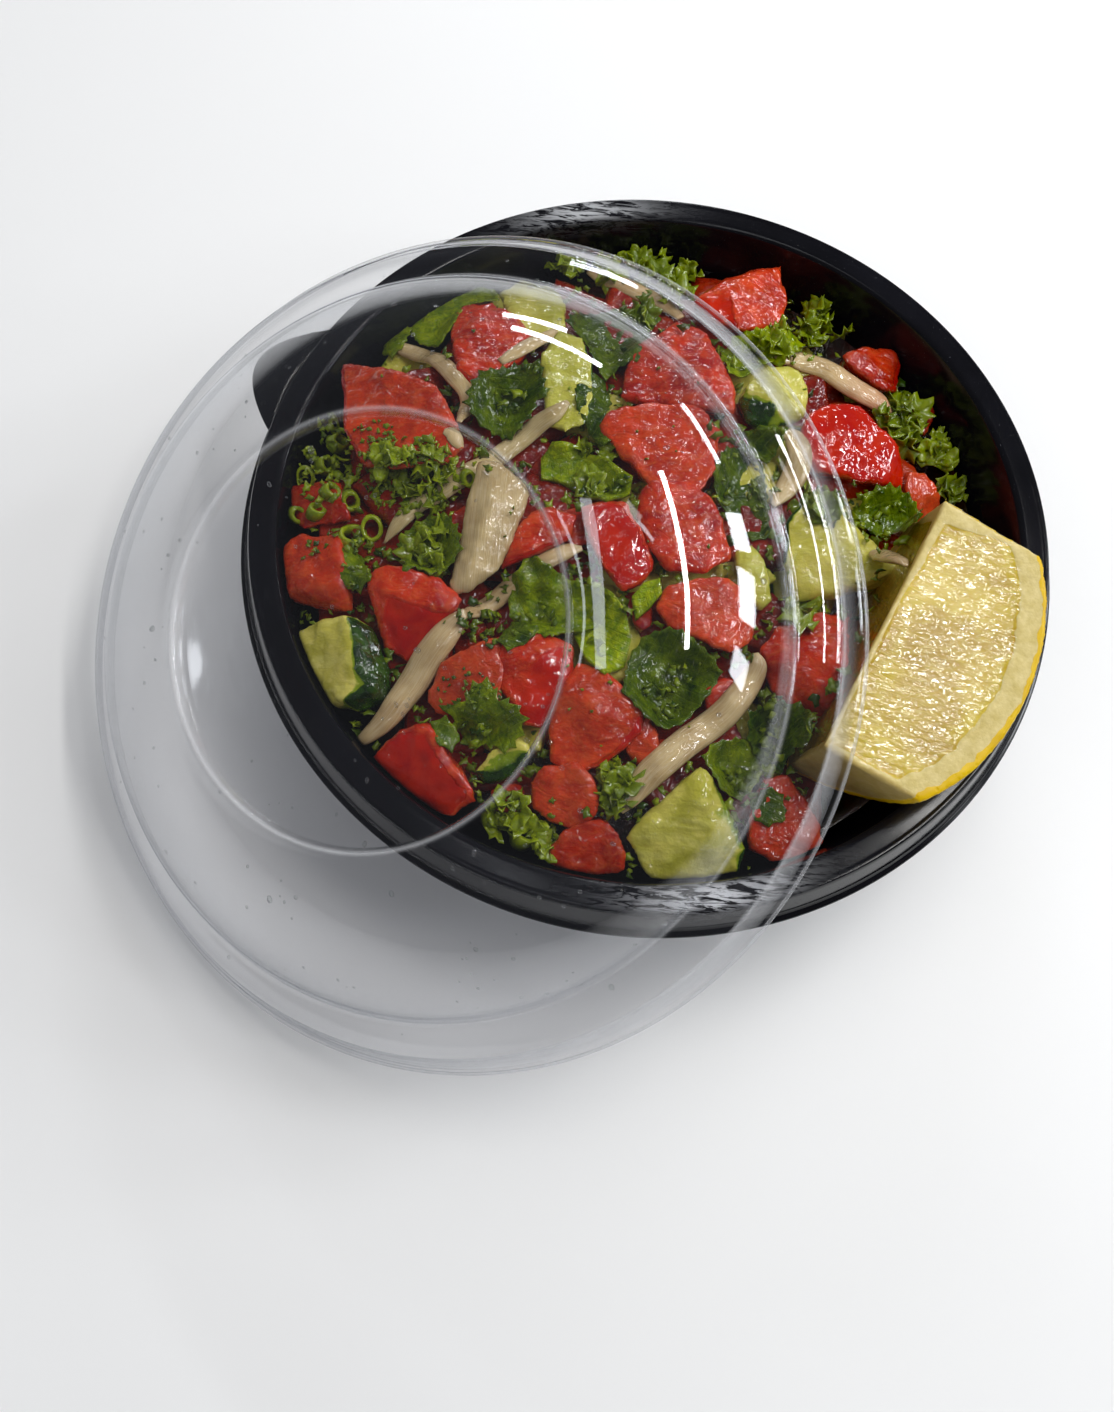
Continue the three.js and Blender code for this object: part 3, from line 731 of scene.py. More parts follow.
def build_lemon():
    steps, prof = 40, []
    for i in range(steps + 1):
        a = math.pi * i / steps
        x = -math.cos(a)
        prof.append((L_R * math.sin(a) if 0 < i < steps else 0.0, L_MID + x * (L_LONG[0] if x < 0 else L_LONG[1])))
    v, f = turned(prof, 96, closed=False)
    bm = bmesh.new()
    vs = [bm.verts.new(p) for p in v]
    for q in f:
        bm.faces.new([vs[i] for i in q])
    bmesh.ops.recalc_face_normals(bm, faces=bm.faces)
    a0 = math.radians(L_TILT)
    a1 = a0 - math.radians(L_ANGLE)
    d1, d2 = Vector((math.cos(a0), math.sin(a0), 0)), Vector((math.cos(a1), math.sin(a1), 0))
    corner = d1 * L_CORNER[0] + Vector((0, 0, L_CORNER[1]))
    second_n = corner.cross(d2).normalized()
    if second_n @ d1 > 0:
        second_n = -second_n
    by_rind = d1 * L_RIND_SIDE[0] + Vector((0, 0, L_RIND_SIDE[1]))
    below = corner * (L_UNDER_SIDE[1] / L_CORNER[1]) + d2 * L_UNDER_SIDE[0]
    trim_n = (by_rind - corner).cross(below - corner).normalized()
    if trim_n.z < 0:
        trim_n = -trim_n
    # each cut keeps the side its normal points away from
    cuts = [
        (Vector((0, 0, 0)), Vector((-math.sin(a0), math.cos(a0), 0))),
        (Vector((0, 0, 0)), second_n),
        (Vector((0, 0, 0)), Vector((0, 0, -1))),
        (corner, trim_n),
    ]
    for co, no in cuts:
        geom = bm.verts[:] + bm.edges[:] + bm.faces[:]
        bmesh.ops.bisect_plane(bm, geom=geom, plane_co=co, plane_no=no, clear_outer=True)
        edges = [e for e in bm.edges if e.is_boundary]
        bmesh.ops.holes_fill(bm, edges=edges, sides=0)
    me = bpy.data.meshes.new("t")
    bm.to_mesh(me)
    bm.free()
    me.transform(Matrix.Scale(MM, 4))
    ob = bpy.data.objects.new("t", me)
    bpy.context.scene.collection.objects.link(ob)
    p, n, faces = voxel(ob, 0.55, 2, 0.5)
    s, rho = p[:, 2], np.hypot(p[:, 0], p[:, 1])
    k = np.where(s < L_MID, (s - L_MID) / L_LONG[0], (s - L_MID) / L_LONG[1])
    skin_r = L_R * np.sqrt(np.clip(1 - k * k, 0, 1))
    slope = L_R * np.abs(k) / (np.where(s < L_MID, L_LONG[0], L_LONG[1]) * np.sqrt(np.clip(1 - k * k, 0.05, 1)))
    deep = (skin_r - rho) / np.sqrt(1 + slope**2)
    ed = np.array(corner.normalized())
    core_d = np.linalg.norm(p - (p @ ed)[:, None] * ed, axis=1)
    ang = np.arctan2(p[:, 1], p[:, 0])
    wob = hills(p, 2.2, 1.0)
    wob2 = hills(p, 5.0, 2.0)
    trim = (p - np.array(cuts[3][0])) @ np.array(cuts[3][1])
    out = np.stack([np.cos(ang), np.sin(ang)], 1)
    facing_out = (n[:, :2] * out).sum(1)
    rind = np.clip(0.5 + (1.25 + 0.75 * wob + 0.5 * np.clip((s - 26) / 20, 0, 1) - deep) * 0.9, 0, 1)
    rind = np.where((facing_out > 0.55) & (deep < 3.0), 1.0, rind)
    near_trim = trim > -0.8
    rind = np.where(near_trim & (deep > 1.4), 0.0, rind)
    band = 5.7 + 0.5 * wob2 + 0.45 * wob
    core = 0.9 + 0.3 * wob2 + 1.7 * np.clip(1 - s / 24.0, 0, 1)
    inside = np.minimum(np.minimum(deep - band, core_d - core), np.minimum(-trim - 1.5 - 0.4 * wob2, s - 1.5 - 0.4 * wob2 + 0.25 * (core_d - 14) * (core_d < 14)))
    far_cut = s < 0.7
    inside = np.where(far_cut, deep - 5.0, inside)
    pulp = np.clip(0.5 + inside * 0.9, 0, 1)
    pulp = np.where((facing_out > 0.55) & (deep < 3.0), 0.0, pulp)
    pulp = np.where(near_trim, 0.0, pulp)
    # relief: plump sacs on the pulp, a slight dip of pulp between pith and core, pores on the rind
    sacs = hills(np.stack([s * 0.95 + rho * 0.1, rho * 0.30, np.zeros(len(s))], 1), 1.1, 3.0)
    p = p + n * (0.05 * sacs * pulp - 0.22 * pulp)[:, None]
    p = p + n * (0.12 * hills(p, 1.4, 5.0) * rind)[:, None]
    p = p + n * (0.20 * wob2 * (1 - pulp) * (1 - rind))[:, None]
    # painted shade: the second cut face and the trimmed end are marked to be coloured darker, as they face away from
    # the lamps
    second = n @ np.array(second_n)
    under = np.clip((second - 0.5) * 3, 0, 1) * np.clip(1 - rind, 0, 1)
    under = np.maximum(under, 0.66 * near_trim * np.clip(1 - rind, 0, 1))
    x, y, z = lemon_axes()
    w = p[:, :1] * x + p[:, 1:2] * y + p[:, 2:] * z + L_FAR
    ob = make("lemon_piece", w, faces, LEMON, attrs={"pulp": pulp, "rind": rind, "pith": under, "along": s, "across": rho})
    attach(ob, "root")
    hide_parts("lemon_wedge")
    return ob, w


# ---------------------------------------------------------------- the heap's ground
def heap_height(x, y):
    """Even height of the heap over a point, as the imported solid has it."""
    d = np.hypot(x + 10, y + 4)
    h = 56.5 - 11.5 * (d / 76) ** 2
    h = h + 5.0 * np.exp(-((x + 54) ** 2 + (y - 13) ** 2) / (2 * 13 * 13))
    h = h - 11.0 * np.exp(-((x - 62) ** 2 + (y + 24) ** 2) / (2 * 17 * 17))
    h = h - 9.0 * np.exp(-((x - 72) ** 2 + (y - 6) ** 2) / (2 * 9 * 9))
    return h


class Ground:
    """Height of what lies in the bowl so far, on a 1 mm grid."""

    def __init__(self):
        g = np.arange(-90.0, 91.0)
        self.x, self.y = np.meshgrid(g, g, indexing="ij")
        self.z = heap_height(self.x, self.y) - 7.0

    def add(self, v):
        i = np.clip(np.round(v[:, 0] + 90).astype(int), 0, 180)
        j = np.clip(np.round(v[:, 1] + 90).astype(int), 0, 180)
        np.maximum.at(self.z, (i, j), v[:, 2])

    def soft(self, k):
        """The ground smoothed over k millimetres, for things that bend over it."""
        z = self.z
        for _ in range(k):
            z = (z + np.roll(z, 1, 0) + np.roll(z, -1, 0) + np.roll(z, 1, 1) + np.roll(z, -1, 1)) / 5
        return z

    def top(self, reach, k):
        """A cloth laid over everything: the highest ground within reach, smoothed."""
        z = self.z
        for _ in range(reach):
            z = np.maximum.reduce([z, np.roll(z, 1, 0), np.roll(z, -1, 0), np.roll(z, 1, 1), np.roll(z, -1, 1)])
        for _ in range(k):
            z = (z + np.roll(z, 1, 0) + np.roll(z, -1, 0) + np.roll(z, 1, 1) + np.roll(z, -1, 1)) / 5
        return z

    @staticmethod
    def read(z, x, y):
        x, y = np.clip(np.asarray(x, float) + 90, 0, 179.99), np.clip(np.asarray(y, float) + 90, 0, 179.99)
        i, j = x.astype(int), y.astype(int)
        a, b = x - i, y - j
        return (1 - a) * (1 - b) * z[i, j] + a * (1 - b) * z[i + 1, j] + (1 - a) * b * z[i, j + 1] + a * b * z[i + 1, j + 1]


GROUND = Ground()


def on(px, py, dz, z=None):
    """The point seen at a place of the view that lies dz above the heap's even height, or above the grid z."""
    h = 50.0
    for _ in range(8):
        p = at(px, py, h)
        h = (heap_height(p[0], p[1]) if z is None else float(Ground.read(z, p[0], p[1]))) + dz
    return at(px, py, h)


# ---------------------------------------------------------------- chunks
def hull(points, size=1.0, smooth=3):
    bm = bmesh.new()
    for p in points:
        bm.verts.new(tuple(np.asarray(p) * MM))
    bmesh.ops.convex_hull(bm, input=bm.verts)
    loose = [x for x in bm.verts if not x.link_faces]
    bmesh.ops.delete(bm, geom=loose, context="VERTS")
    me = bpy.data.meshes.new("c")
    bm.to_mesh(me)
    bm.free()
    ob = bpy.data.objects.new("c", me)
    bpy.context.scene.collection.objects.link(ob)
    return voxel(ob, size, smooth, 0.5)


def chunk(heap, top, thick=11.0, shrink=0.82, skin=None, size=0.95, seed=0.0, tone=1.0, pale=0.0, lumps=0.62, keep=None, smooth=3, patch=None):
    """A knife-cut piece. top lists the corners and ridges that show, as (view x, view y, height over the even heap).
    It is the hull of those and of a smaller copy of them deeper down the line of sight, with rounded edges.
    skin is (direction, threshold) of the side that has peel, patch is ((view x, view y), radius) of a cut spot in it."""
    p = np.array([on(*q) for q in top])
    mid = p.mean(0)
    deep = mid + (p - mid) * shrink + AHEAD * thick
    v, n, f = hull(np.vstack([p, deep]), size, smooth)
    v = v + n * (lumps * hills(v, 5.0, seed + 0.3) + 0.18 * hills(v, 1.7, seed + 1.9))[:, None]
    s = np.zeros(len(v))
    if skin is not None:
        d = np.array(skin[0], float)
        d /= np.linalg.norm(d)
        s = np.clip(0.5 + ((n @ d) - skin[1] + 0.05 * hills(v, 4.0, seed + 5)) * 4.0, 0, 1)
    if patch is not None:
        c = on(patch[0][0], patch[0][1], 0)
        r = np.hypot(v[:, 0] - c[0], v[:, 1] - c[1]) + 1.2 * hills(v, 3.0, seed + 2)
        s = np.minimum(s, np.clip(0.5 + (r - patch[1]) * 0.3, 0.44, 1))
    if keep is not None:
        v[:, 2] = np.minimum(v[:, 2], keep)
    GROUND.add(v)
    heap.add(v, f, skin=s, tone=tone, pale=pale)
    return v


LIT = (0.25, 0.35, 1.0)
TOMATOES = [
    # corners, thickness, skin side, tone (low for painted shade deep in the heap), pale
    dict(top=[(341, 364, 2.5), (365, 362, 3), (400, 371, 3), (434, 383, 2), (456, 412, 1), (464, 448, 0), (446, 464, -1), (405, 470, -0.5), (362, 466, -1), (343, 430, 0)], thick=13, pale=0.25, skin=((-1, -0.2, 0.0), 0.62)),
    dict(top=[(448, 330, 0), (463, 304, 1), (492, 301, 1.5), (520, 315, 1), (536, 340, 0), (522, 358, 0.5), (498, 372, 1), (478, 392, -1), (455, 368, 0)], thick=12, skin=((-0.6, -0.7, 0.4), 0.72)),
    dict(top=[(691, 301, -1), (718, 281, 1.5), (752, 269, 3), (782, 264, 3), (789, 298, 1), (784, 330, -2), (762, 329, -1), (738, 331, 0), (712, 320, -1), (737, 282, 3.4)], thick=13, skin=((-0.55, -0.15, 0.62), 0.86), pale=0.15),
    dict(top=[(633, 345, 0), (655, 332, 1), (676, 322, 1.5), (703, 328, 2), (722, 356, 2), (739, 392, 1), (737, 415, 0), (700, 405, 1), (655, 404, -1), (619, 398, -2), (624, 370, -1)], thick=12, tone=0.85),
    dict(top=[(594, 424, -1), (612, 408, 0.5), (655, 401, 1.5), (700, 404, 1.5), (722, 430, 1), (716, 470, 1), (700, 494, 0.5), (655, 494, 0), (640, 470, 0), (628, 448, -0.5), (606, 434, -1)], thick=11, pale=0.2, lumps=0.9),
    dict(top=[(638, 492, 1), (652, 479, 2), (690, 479, 2), (714, 496, 1.5), (726, 525, 1), (734, 560, 0), (704, 573, 0), (668, 572, 0), (648, 548, 0), (636, 515, 0)], thick=12, tone=0.95),
    dict(top=[(579, 508, 0), (598, 497, 1.5), (626, 500, 1.5), (642, 528, 1), (656, 562, -0.5), (642, 586, -1), (622, 592, -1), (603, 570, 0), (588, 540, 0.5)], thick=12, skin=((0.0, -0.25, 1.0), 0.93)),
    dict(top=[(655, 606, 0), (664, 586, 1), (692, 577, 2), (730, 575, 2), (756, 598, 1), (757, 638, 0), (738, 656, 0), (714, 646, 1), (690, 631, 1), (665, 628, 0)], thick=12, pale=0.35),
    dict(top=[(800, 428, 1), (812, 409, 2), (838, 400, 3), (864, 405, 3.5), (882, 425, 3.5), (898, 446, 2.5), (906, 466, 1), (903, 492, -1.5), (880, 482, 1), (862, 482, 0.5), (838, 474, 0), (814, 472, -1), (803, 452, 0)], thick=14, skin=((0.1, 0.1, 1.0), 0.1), smooth=5),
    dict(top=[(905, 472, -2), (913, 466, -1), (928, 471, -1), (939, 490, -1), (943, 507, -2), (934, 517, -3), (920, 528, -4), (906, 502, -3)], thick=10, pale=0.45, tone=0.9),
    dict(top=[(842, 354, -2), (862, 345, -1), (900, 349, -1), (902, 372, -3), (898, 392, -4), (880, 388, -3), (868, 372, -2), (848, 366, -3)], thick=11, tone=0.65, skin=((1.0, -0.3, 0.0), 0.5)),
    dict(top=[(911, 399, -3), (939, 400, -3), (934, 420, -4), (925, 437, -5), (914, 420, -4)], thick=8, tone=0.4),
    dict(top=[(758, 650, -1), (776, 627, 0), (800, 630, 1), (822, 611, 2), (852, 616, 4), (849, 662, 12), (842, 692, 10), (828, 713, 2), (806, 734, -2), (796, 712, -2), (772, 692, -2)], thick=13, skin=((0.15, 0.0, 1.0), 0.90), tone=0.95),
    dict(top=[(763, 778, -2), (790, 774, -1), (806, 796, -1), (821, 822, -2), (825, 850, -3), (800, 863, -3), (770, 862, -3), (750, 850, -3), (748, 820, -3), (760, 800, -2)], thick=11, tone=0.75, pale=0.1),
    dict(top=[(547, 720, -1), (560, 690, 1), (578, 662, 1), (605, 668, 2), (628, 690, 2), (646, 714, 1), (640, 736, 0), (620, 750, 0), (600, 769, -2), (570, 772, -2), (550, 762, -2), (592, 702, 2.6)], thick=13, pale=0.28, skin=((0.55, -0.55, 0.6), 0.90)),
    dict(top=[(632, 728, -1), (648, 712, 0), (661, 736, 0), (656, 760, -1), (640, 768, -2), (624, 752, -2)], thick=9, pale=0.4),
    dict(top=[(425, 700, -2), (440, 662, 0), (470, 645, 1), (500, 634, 1), (506, 665, 1), (501, 705, 0), (470, 706, 0), (440, 716, -2)], thick=12, pale=0.45, tone=0.9),
    dict(top=[(496, 650, 1), (514, 633, 1), (540, 629, 1), (572, 645, 0), (577, 668, 0), (562, 702, -1), (540, 732, -2), (516, 722, -1), (499, 690, 0), (545, 655, 2.5)], thick=13, skin=((0.3, -0.35, 0.85), 0.90)),
    dict(top=[(366, 576, 1), (382, 565, 2), (405, 566, 2), (440, 578, 1), (463, 598, 0), (448, 618, 0), (428, 645, -2.5), (411, 662, -4), (382, 650, -3.5), (372, 612, -1), (384, 592, 2.2)], thick=12, skin=((0.1, -0.75, 0.75), 0.90)),
    dict(top=[(280, 545, -1), (300, 533, 0.5), (340, 535, 1), (346, 560, 1), (349, 590, 0), (354, 613, -3), (328, 612, -4), (298, 602, -3.5), (281, 597, -2.5), (300, 590, 1.2), (340, 585, 1.4)], thick=12, pale=0.22),
    dict(top=[(369, 758, -2), (385, 741, -0.5), (402, 727, 0), (430, 722, 0.5), (444, 748, 1), (456, 775, 0.5), (474, 790, -1), (476, 802, -2), (450, 820, -3.5), (425, 811, -3.5), (410, 798, -3), (386, 780, -3), (440, 762, 1.6)], thick=12, skin=((-0.5, -0.5, 0.7), 0.84), tone=0.95),
    dict(top=[(529, 782, -1), (545, 765, 0.5), (575, 762, 1), (592, 776, 1), (602, 796, 0), (596, 816, -1), (575, 834, -3), (548, 822, -2), (530, 808, -2)], thick=12, pale=0.32),
    dict(top=[(542, 862, -3.5), (560, 834, -1.5), (580, 822, -0.5), (602, 815, 0), (620, 835, -1), (629, 856, -2.5), (626, 873, -3.5), (592, 878, -4), (560, 872, -4)], thick=10, tone=0.8, pale=0.1),
    dict(top=[(497, 572, -1), (512, 536, 0), (530, 511, 0), (552, 504, 0.5), (577, 515, 0), (572, 538, 0.5), (548, 545, 1), (524, 558, 1)], thick=11, tone=0.85, skin=((0.3, -0.8, 0.5), 0.80)),
    dict(top=[(634, 600, -3), (655, 606, -2.5), (652, 626, -2.5), (640, 636, -3), (630, 620, -3)], thick=8, tone=0.6),
    dict(top=[(656, 740, -2.5), (690, 733, -2), (682, 752, -2.5), (662, 764, -3)], thick=8, tone=0.7),
    dict(top=[(604, 772, -3), (622, 768, -3), (640, 778, -3), (628, 812, -3.5), (606, 812, -3)], thick=9, tone=0.55),
    dict(top=[(700, 692, -2.5), (722, 676, -2), (746, 680, -2), (735, 705, -3), (706, 715, -3)], thick=9, tone=0.7),
    dict(top=[(486, 790, -3.5), (520, 782, -3), (532, 815, -3.5), (505, 825, -4.5)], thick=9, tone=0.5),
    dict(top=[(800, 468, -5), (850, 480, -4), (890, 486, -5), (860, 500, -6), (800, 500, -6)], thick=8, tone=0.45),
    dict(top=[(440, 520, -3), (470, 500, -3), (480, 540, -3), (455, 560, -3.5)], thick=9, tone=0.6),
    dict(top=[(282, 486, -3), (340, 482, -2.5), (352, 520, -3), (300, 530, -3)], thick=9, tone=0.5),
    dict(top=[(560, 508, -3), (600, 506, -3), (600, 545, -3), (568, 548, -3)], thick=9, tone=0.6),
]
CUCUMBERS = [
    dict(top=[(291, 634, -2), (316, 620, 0), (343, 612, 2), (351, 640, 2.6), (349, 667, 2.6), (373, 688, 1), (342, 700, 1), (326, 708, -3.5), (306, 668, -2.5), (372, 628, -1.5), (388, 662, -3), (389, 700, -4), (366, 713, -4)], thick=13, skin=((0.9, -0.35, 0.2), 0.30), tone=0.0),
    dict(top=[(783, 560, -1), (786, 522, -0.5), (802, 500, 0), (830, 504, 1), (852, 528, 3.5), (880, 548, 6.0), (904, 571, 13.0), (884, 586, 5.0), (862, 592, 1.5), (824, 602, -1), (796, 602, -2.0), (824, 528, 2.6), (820, 575, 2.0)], thick=13, skin=((-0.85, 0.35, 0.45), 0.72), tone=0.15),
    dict(top=[(624, 838, -2.5), (652, 806, -1), (690, 776, 1), (702, 764, 1), (716, 778, 1), (731, 812, 0), (746, 850, -2), (742, 874, -4), (700, 878, -4), (650, 880, -4), (637, 864, -3.5), (706, 800, 3.0), (716, 846, 0.6)], thick=12, skin=((0.9, -0.35, 0.1), 0.70), tone=0.25),
    dict(top=[(474, 772, -2), (490, 751, -0.5), (514, 737, 0), (531, 745, 0), (528, 761, -1), (505, 780, -3), (484, 785, -3)], thick=8, skin=((-0.2, -0.9, 0.1), 0.6), tone=0.1, size=0.8),
    dict(top=[(541, 350, -0.5), (558, 330, 0), (580, 334, 0), (594, 360, 0), (596, 398, 0), (586, 425, -1), (565, 433, -1.5), (545, 426, -2), (552, 400, -1), (540, 380, -1)], thick=5, skin=((1, 0.1, -0.1), 0.6), tone=0.55),
    dict(top=[(745, 385, 0), (768, 363, 1.5), (800, 369, 2), (810, 396, 1), (806, 416, -1), (790, 426, -2), (760, 431, -2.5), (744, 420, -2), (738, 400, -1.5), (776, 402, 2.6)], thick=13, skin=((-0.6, -0.75, 0.15), 0.45), tone=0.30),
    dict(top=[(498, 292, -1), (520, 281, 0), (550, 284, 0), (567, 300, 0), (566, 330, -0.5), (545, 346, -1), (520, 332, -0.5), (504, 312, -1)], thick=10, tone=0.35),
    dict(top=[(734, 550, -1), (752, 543, 0), (768, 560, 0), (773, 600, -1), (760, 613, -2), (742, 590, -1)], thick=9, tone=0.5, skin=((1, 0, 0), 0.8)),
    dict(top=[(596, 700, -9), (640, 700, -9), (640, 740, -9), (600, 740, -9)], thick=6, tone=0.4),
]


def filler(tomatoes, cucumbers):
    """Pieces under and between those that show, and those out of sight."""
    k = 0
    for i in range(-6, 7):
        for j in range(-6, 7):
            x, y = 13.0 * i + (6.5 if j % 2 else 0), 11.5 * j
            x += rng.uniform(-2, 2)
            y += rng.uniform(-2, 2)
            k += 1
            if math.hypot(x, y) > 69:
                continue
            h = heap_height(x, y) - 6.6 + rng.uniform(-1.2, 1.0)
            if math.hypot(x, y) > 60:
                h -= 2.0
            if math.hypot(x, y) > 58 and x > 20 and y > -30:
                h -= 9.0
            # leave the lemon's bed free
            if 18 < x < 80 and -62 < y < 8 and (x - 24) * 0.89 + (y + 50) * -0.455 > -6:
                h = min(h, 40.0 - 0.10 * max(0, y + 20))
                if x > 40 and y > -46:
                    continue
            a = rng.uniform(0, math.pi)
            w, d, t = rng.uniform(7, 9), rng.uniform(6, 8.5), 9.0
            c, s = math.cos(a), math.sin(a)
            pts = []
            for u, v_, q in [(-w, -d, 0), (w, -d, 0), (w, d, 0), (-w, d, 0), (-w, -d, -t), (w, -d, -t), (w, d, -t), (-w, d, -t)]:
                u, v_ = u * rng.uniform(0.75, 1.1), v_ * rng.uniform(0.75, 1.1)
                pts.append((x + u * c - v_ * s, y + u * s + v_ * c, h + q + rng.uniform(-1.4, 1.4)))
            pts = np.array(pts)
            r = np.hypot(pts[:, 0], pts[:, 1])
            lim = np.array([wall_radius(z) - 1.2 for z in pts[:, 2]])
            pts[:, :2] *= np.minimum(1, lim / np.maximum(r, 1e-6))[:, None]
            v, n, f = hull(pts, 1.5, 2)
            v = v + n * (0.5 * hills(v, 5.0, k))[:, None]
            green = rng.random() < 0.3
            d = np.array([c, s, 0.2])
            sk = np.clip(0.5 + ((n @ d) - 0.8) * 4, 0, 1)
            GROUND.add(v)
            # tomato filler gets a low tone: painted shade, so the gaps between the pieces read dark
            (cucumbers if green else tomatoes).add(v, f, skin=sk, tone=(0.3 if green else 0.02 + 0.35 * rng.random()), pale=0.1)


# ---------------------------------------------------------------- strips, leaves, rings, herbs
def strip(heap, line, tone=0.5, lift=0.0, flat=0.45, curl=0.0, sides=14, seed=0.0, bow=0.0):
    """An onion strip along points (view x, view y, half width in mm), lying on what is there. flat is its thickness as a share of its width."""
    soft = GROUND.top(2, 9)
    pts = [(*on(x, y, 0.0, soft)[:2], w) for x, y, w in line]
    c = spline(pts, 7)
    n = len(c)
    z = np.array([Ground.read(soft, *q[:2]) for q in c])
    for _ in range(8):
        z[1:-1] = (z[:-2] + z[1:-1] + z[2:]) / 3
    half = np.maximum(c[:, 2] * 1.16, 0.12)
    z = z + half * flat * 0.25 + lift + bow * np.sin(np.linspace(0, math.pi, n))
    # keep the strip where it shows in the view after the height is known
    cx = []
    for i in range(n):
        p = np.array([c[i, 0], c[i, 1], Ground.read(soft, c[i, 0], c[i, 1])])
        d = (p - EYE)
        cx.append(EYE + d * ((z[i] - EYE[2]) / d[2]))
    cx = np.array(cx)
    t = np.gradient(cx, axis=0)
    t /= np.linalg.norm(t, axis=1, keepdims=True)
    side = np.cross(t, [0, 0, 1.0])
    side /= np.linalg.norm(side, axis=1, keepdims=True)
    nor = np.cross(side, t)
    s = np.concatenate([[0], np.cumsum(np.linalg.norm(np.diff(cx, axis=0), axis=1))])
    v, along, across = [], [], []
    for i in range(n):
        for k in range(sides):
            a = 2 * math.pi * k / sides
            u, w = math.cos(a), math.sin(a)
            u = math.copysign(abs(u) ** 0.75, u)
            lid_ = w * flat * (1 - 0.25 * u * u) + curl * (u * u - 0.5)
            v.append(cx[i] + side[i] * half[i] * u + nor[i] * half[i] * lid_)
            along.append(s[i])
            across.append(u * half[i])
    v = np.array(v)
    v = v + nor.repeat(sides, 0) * (0.22 * hills(v, 3.5, seed))[:, None]
    f = [(i * sides + k, (i + 1) * sides + k, (i + 1) * sides + (k + 1) % sides, i * sides + (k + 1) % sides) for i in range(n - 1) for k in range(sides)]
    f += [tuple(range(sides)), tuple(range((n - 1) * sides, n * sides))[::-1]]
    heap.add(v, f, tone=tone if np.ndim(tone) == 0 else np.interp(np.array(along) / s[-1], np.linspace(0, 1, len(tone)), tone), along=np.array(along), across=np.array(across))
    GROUND.add(v)


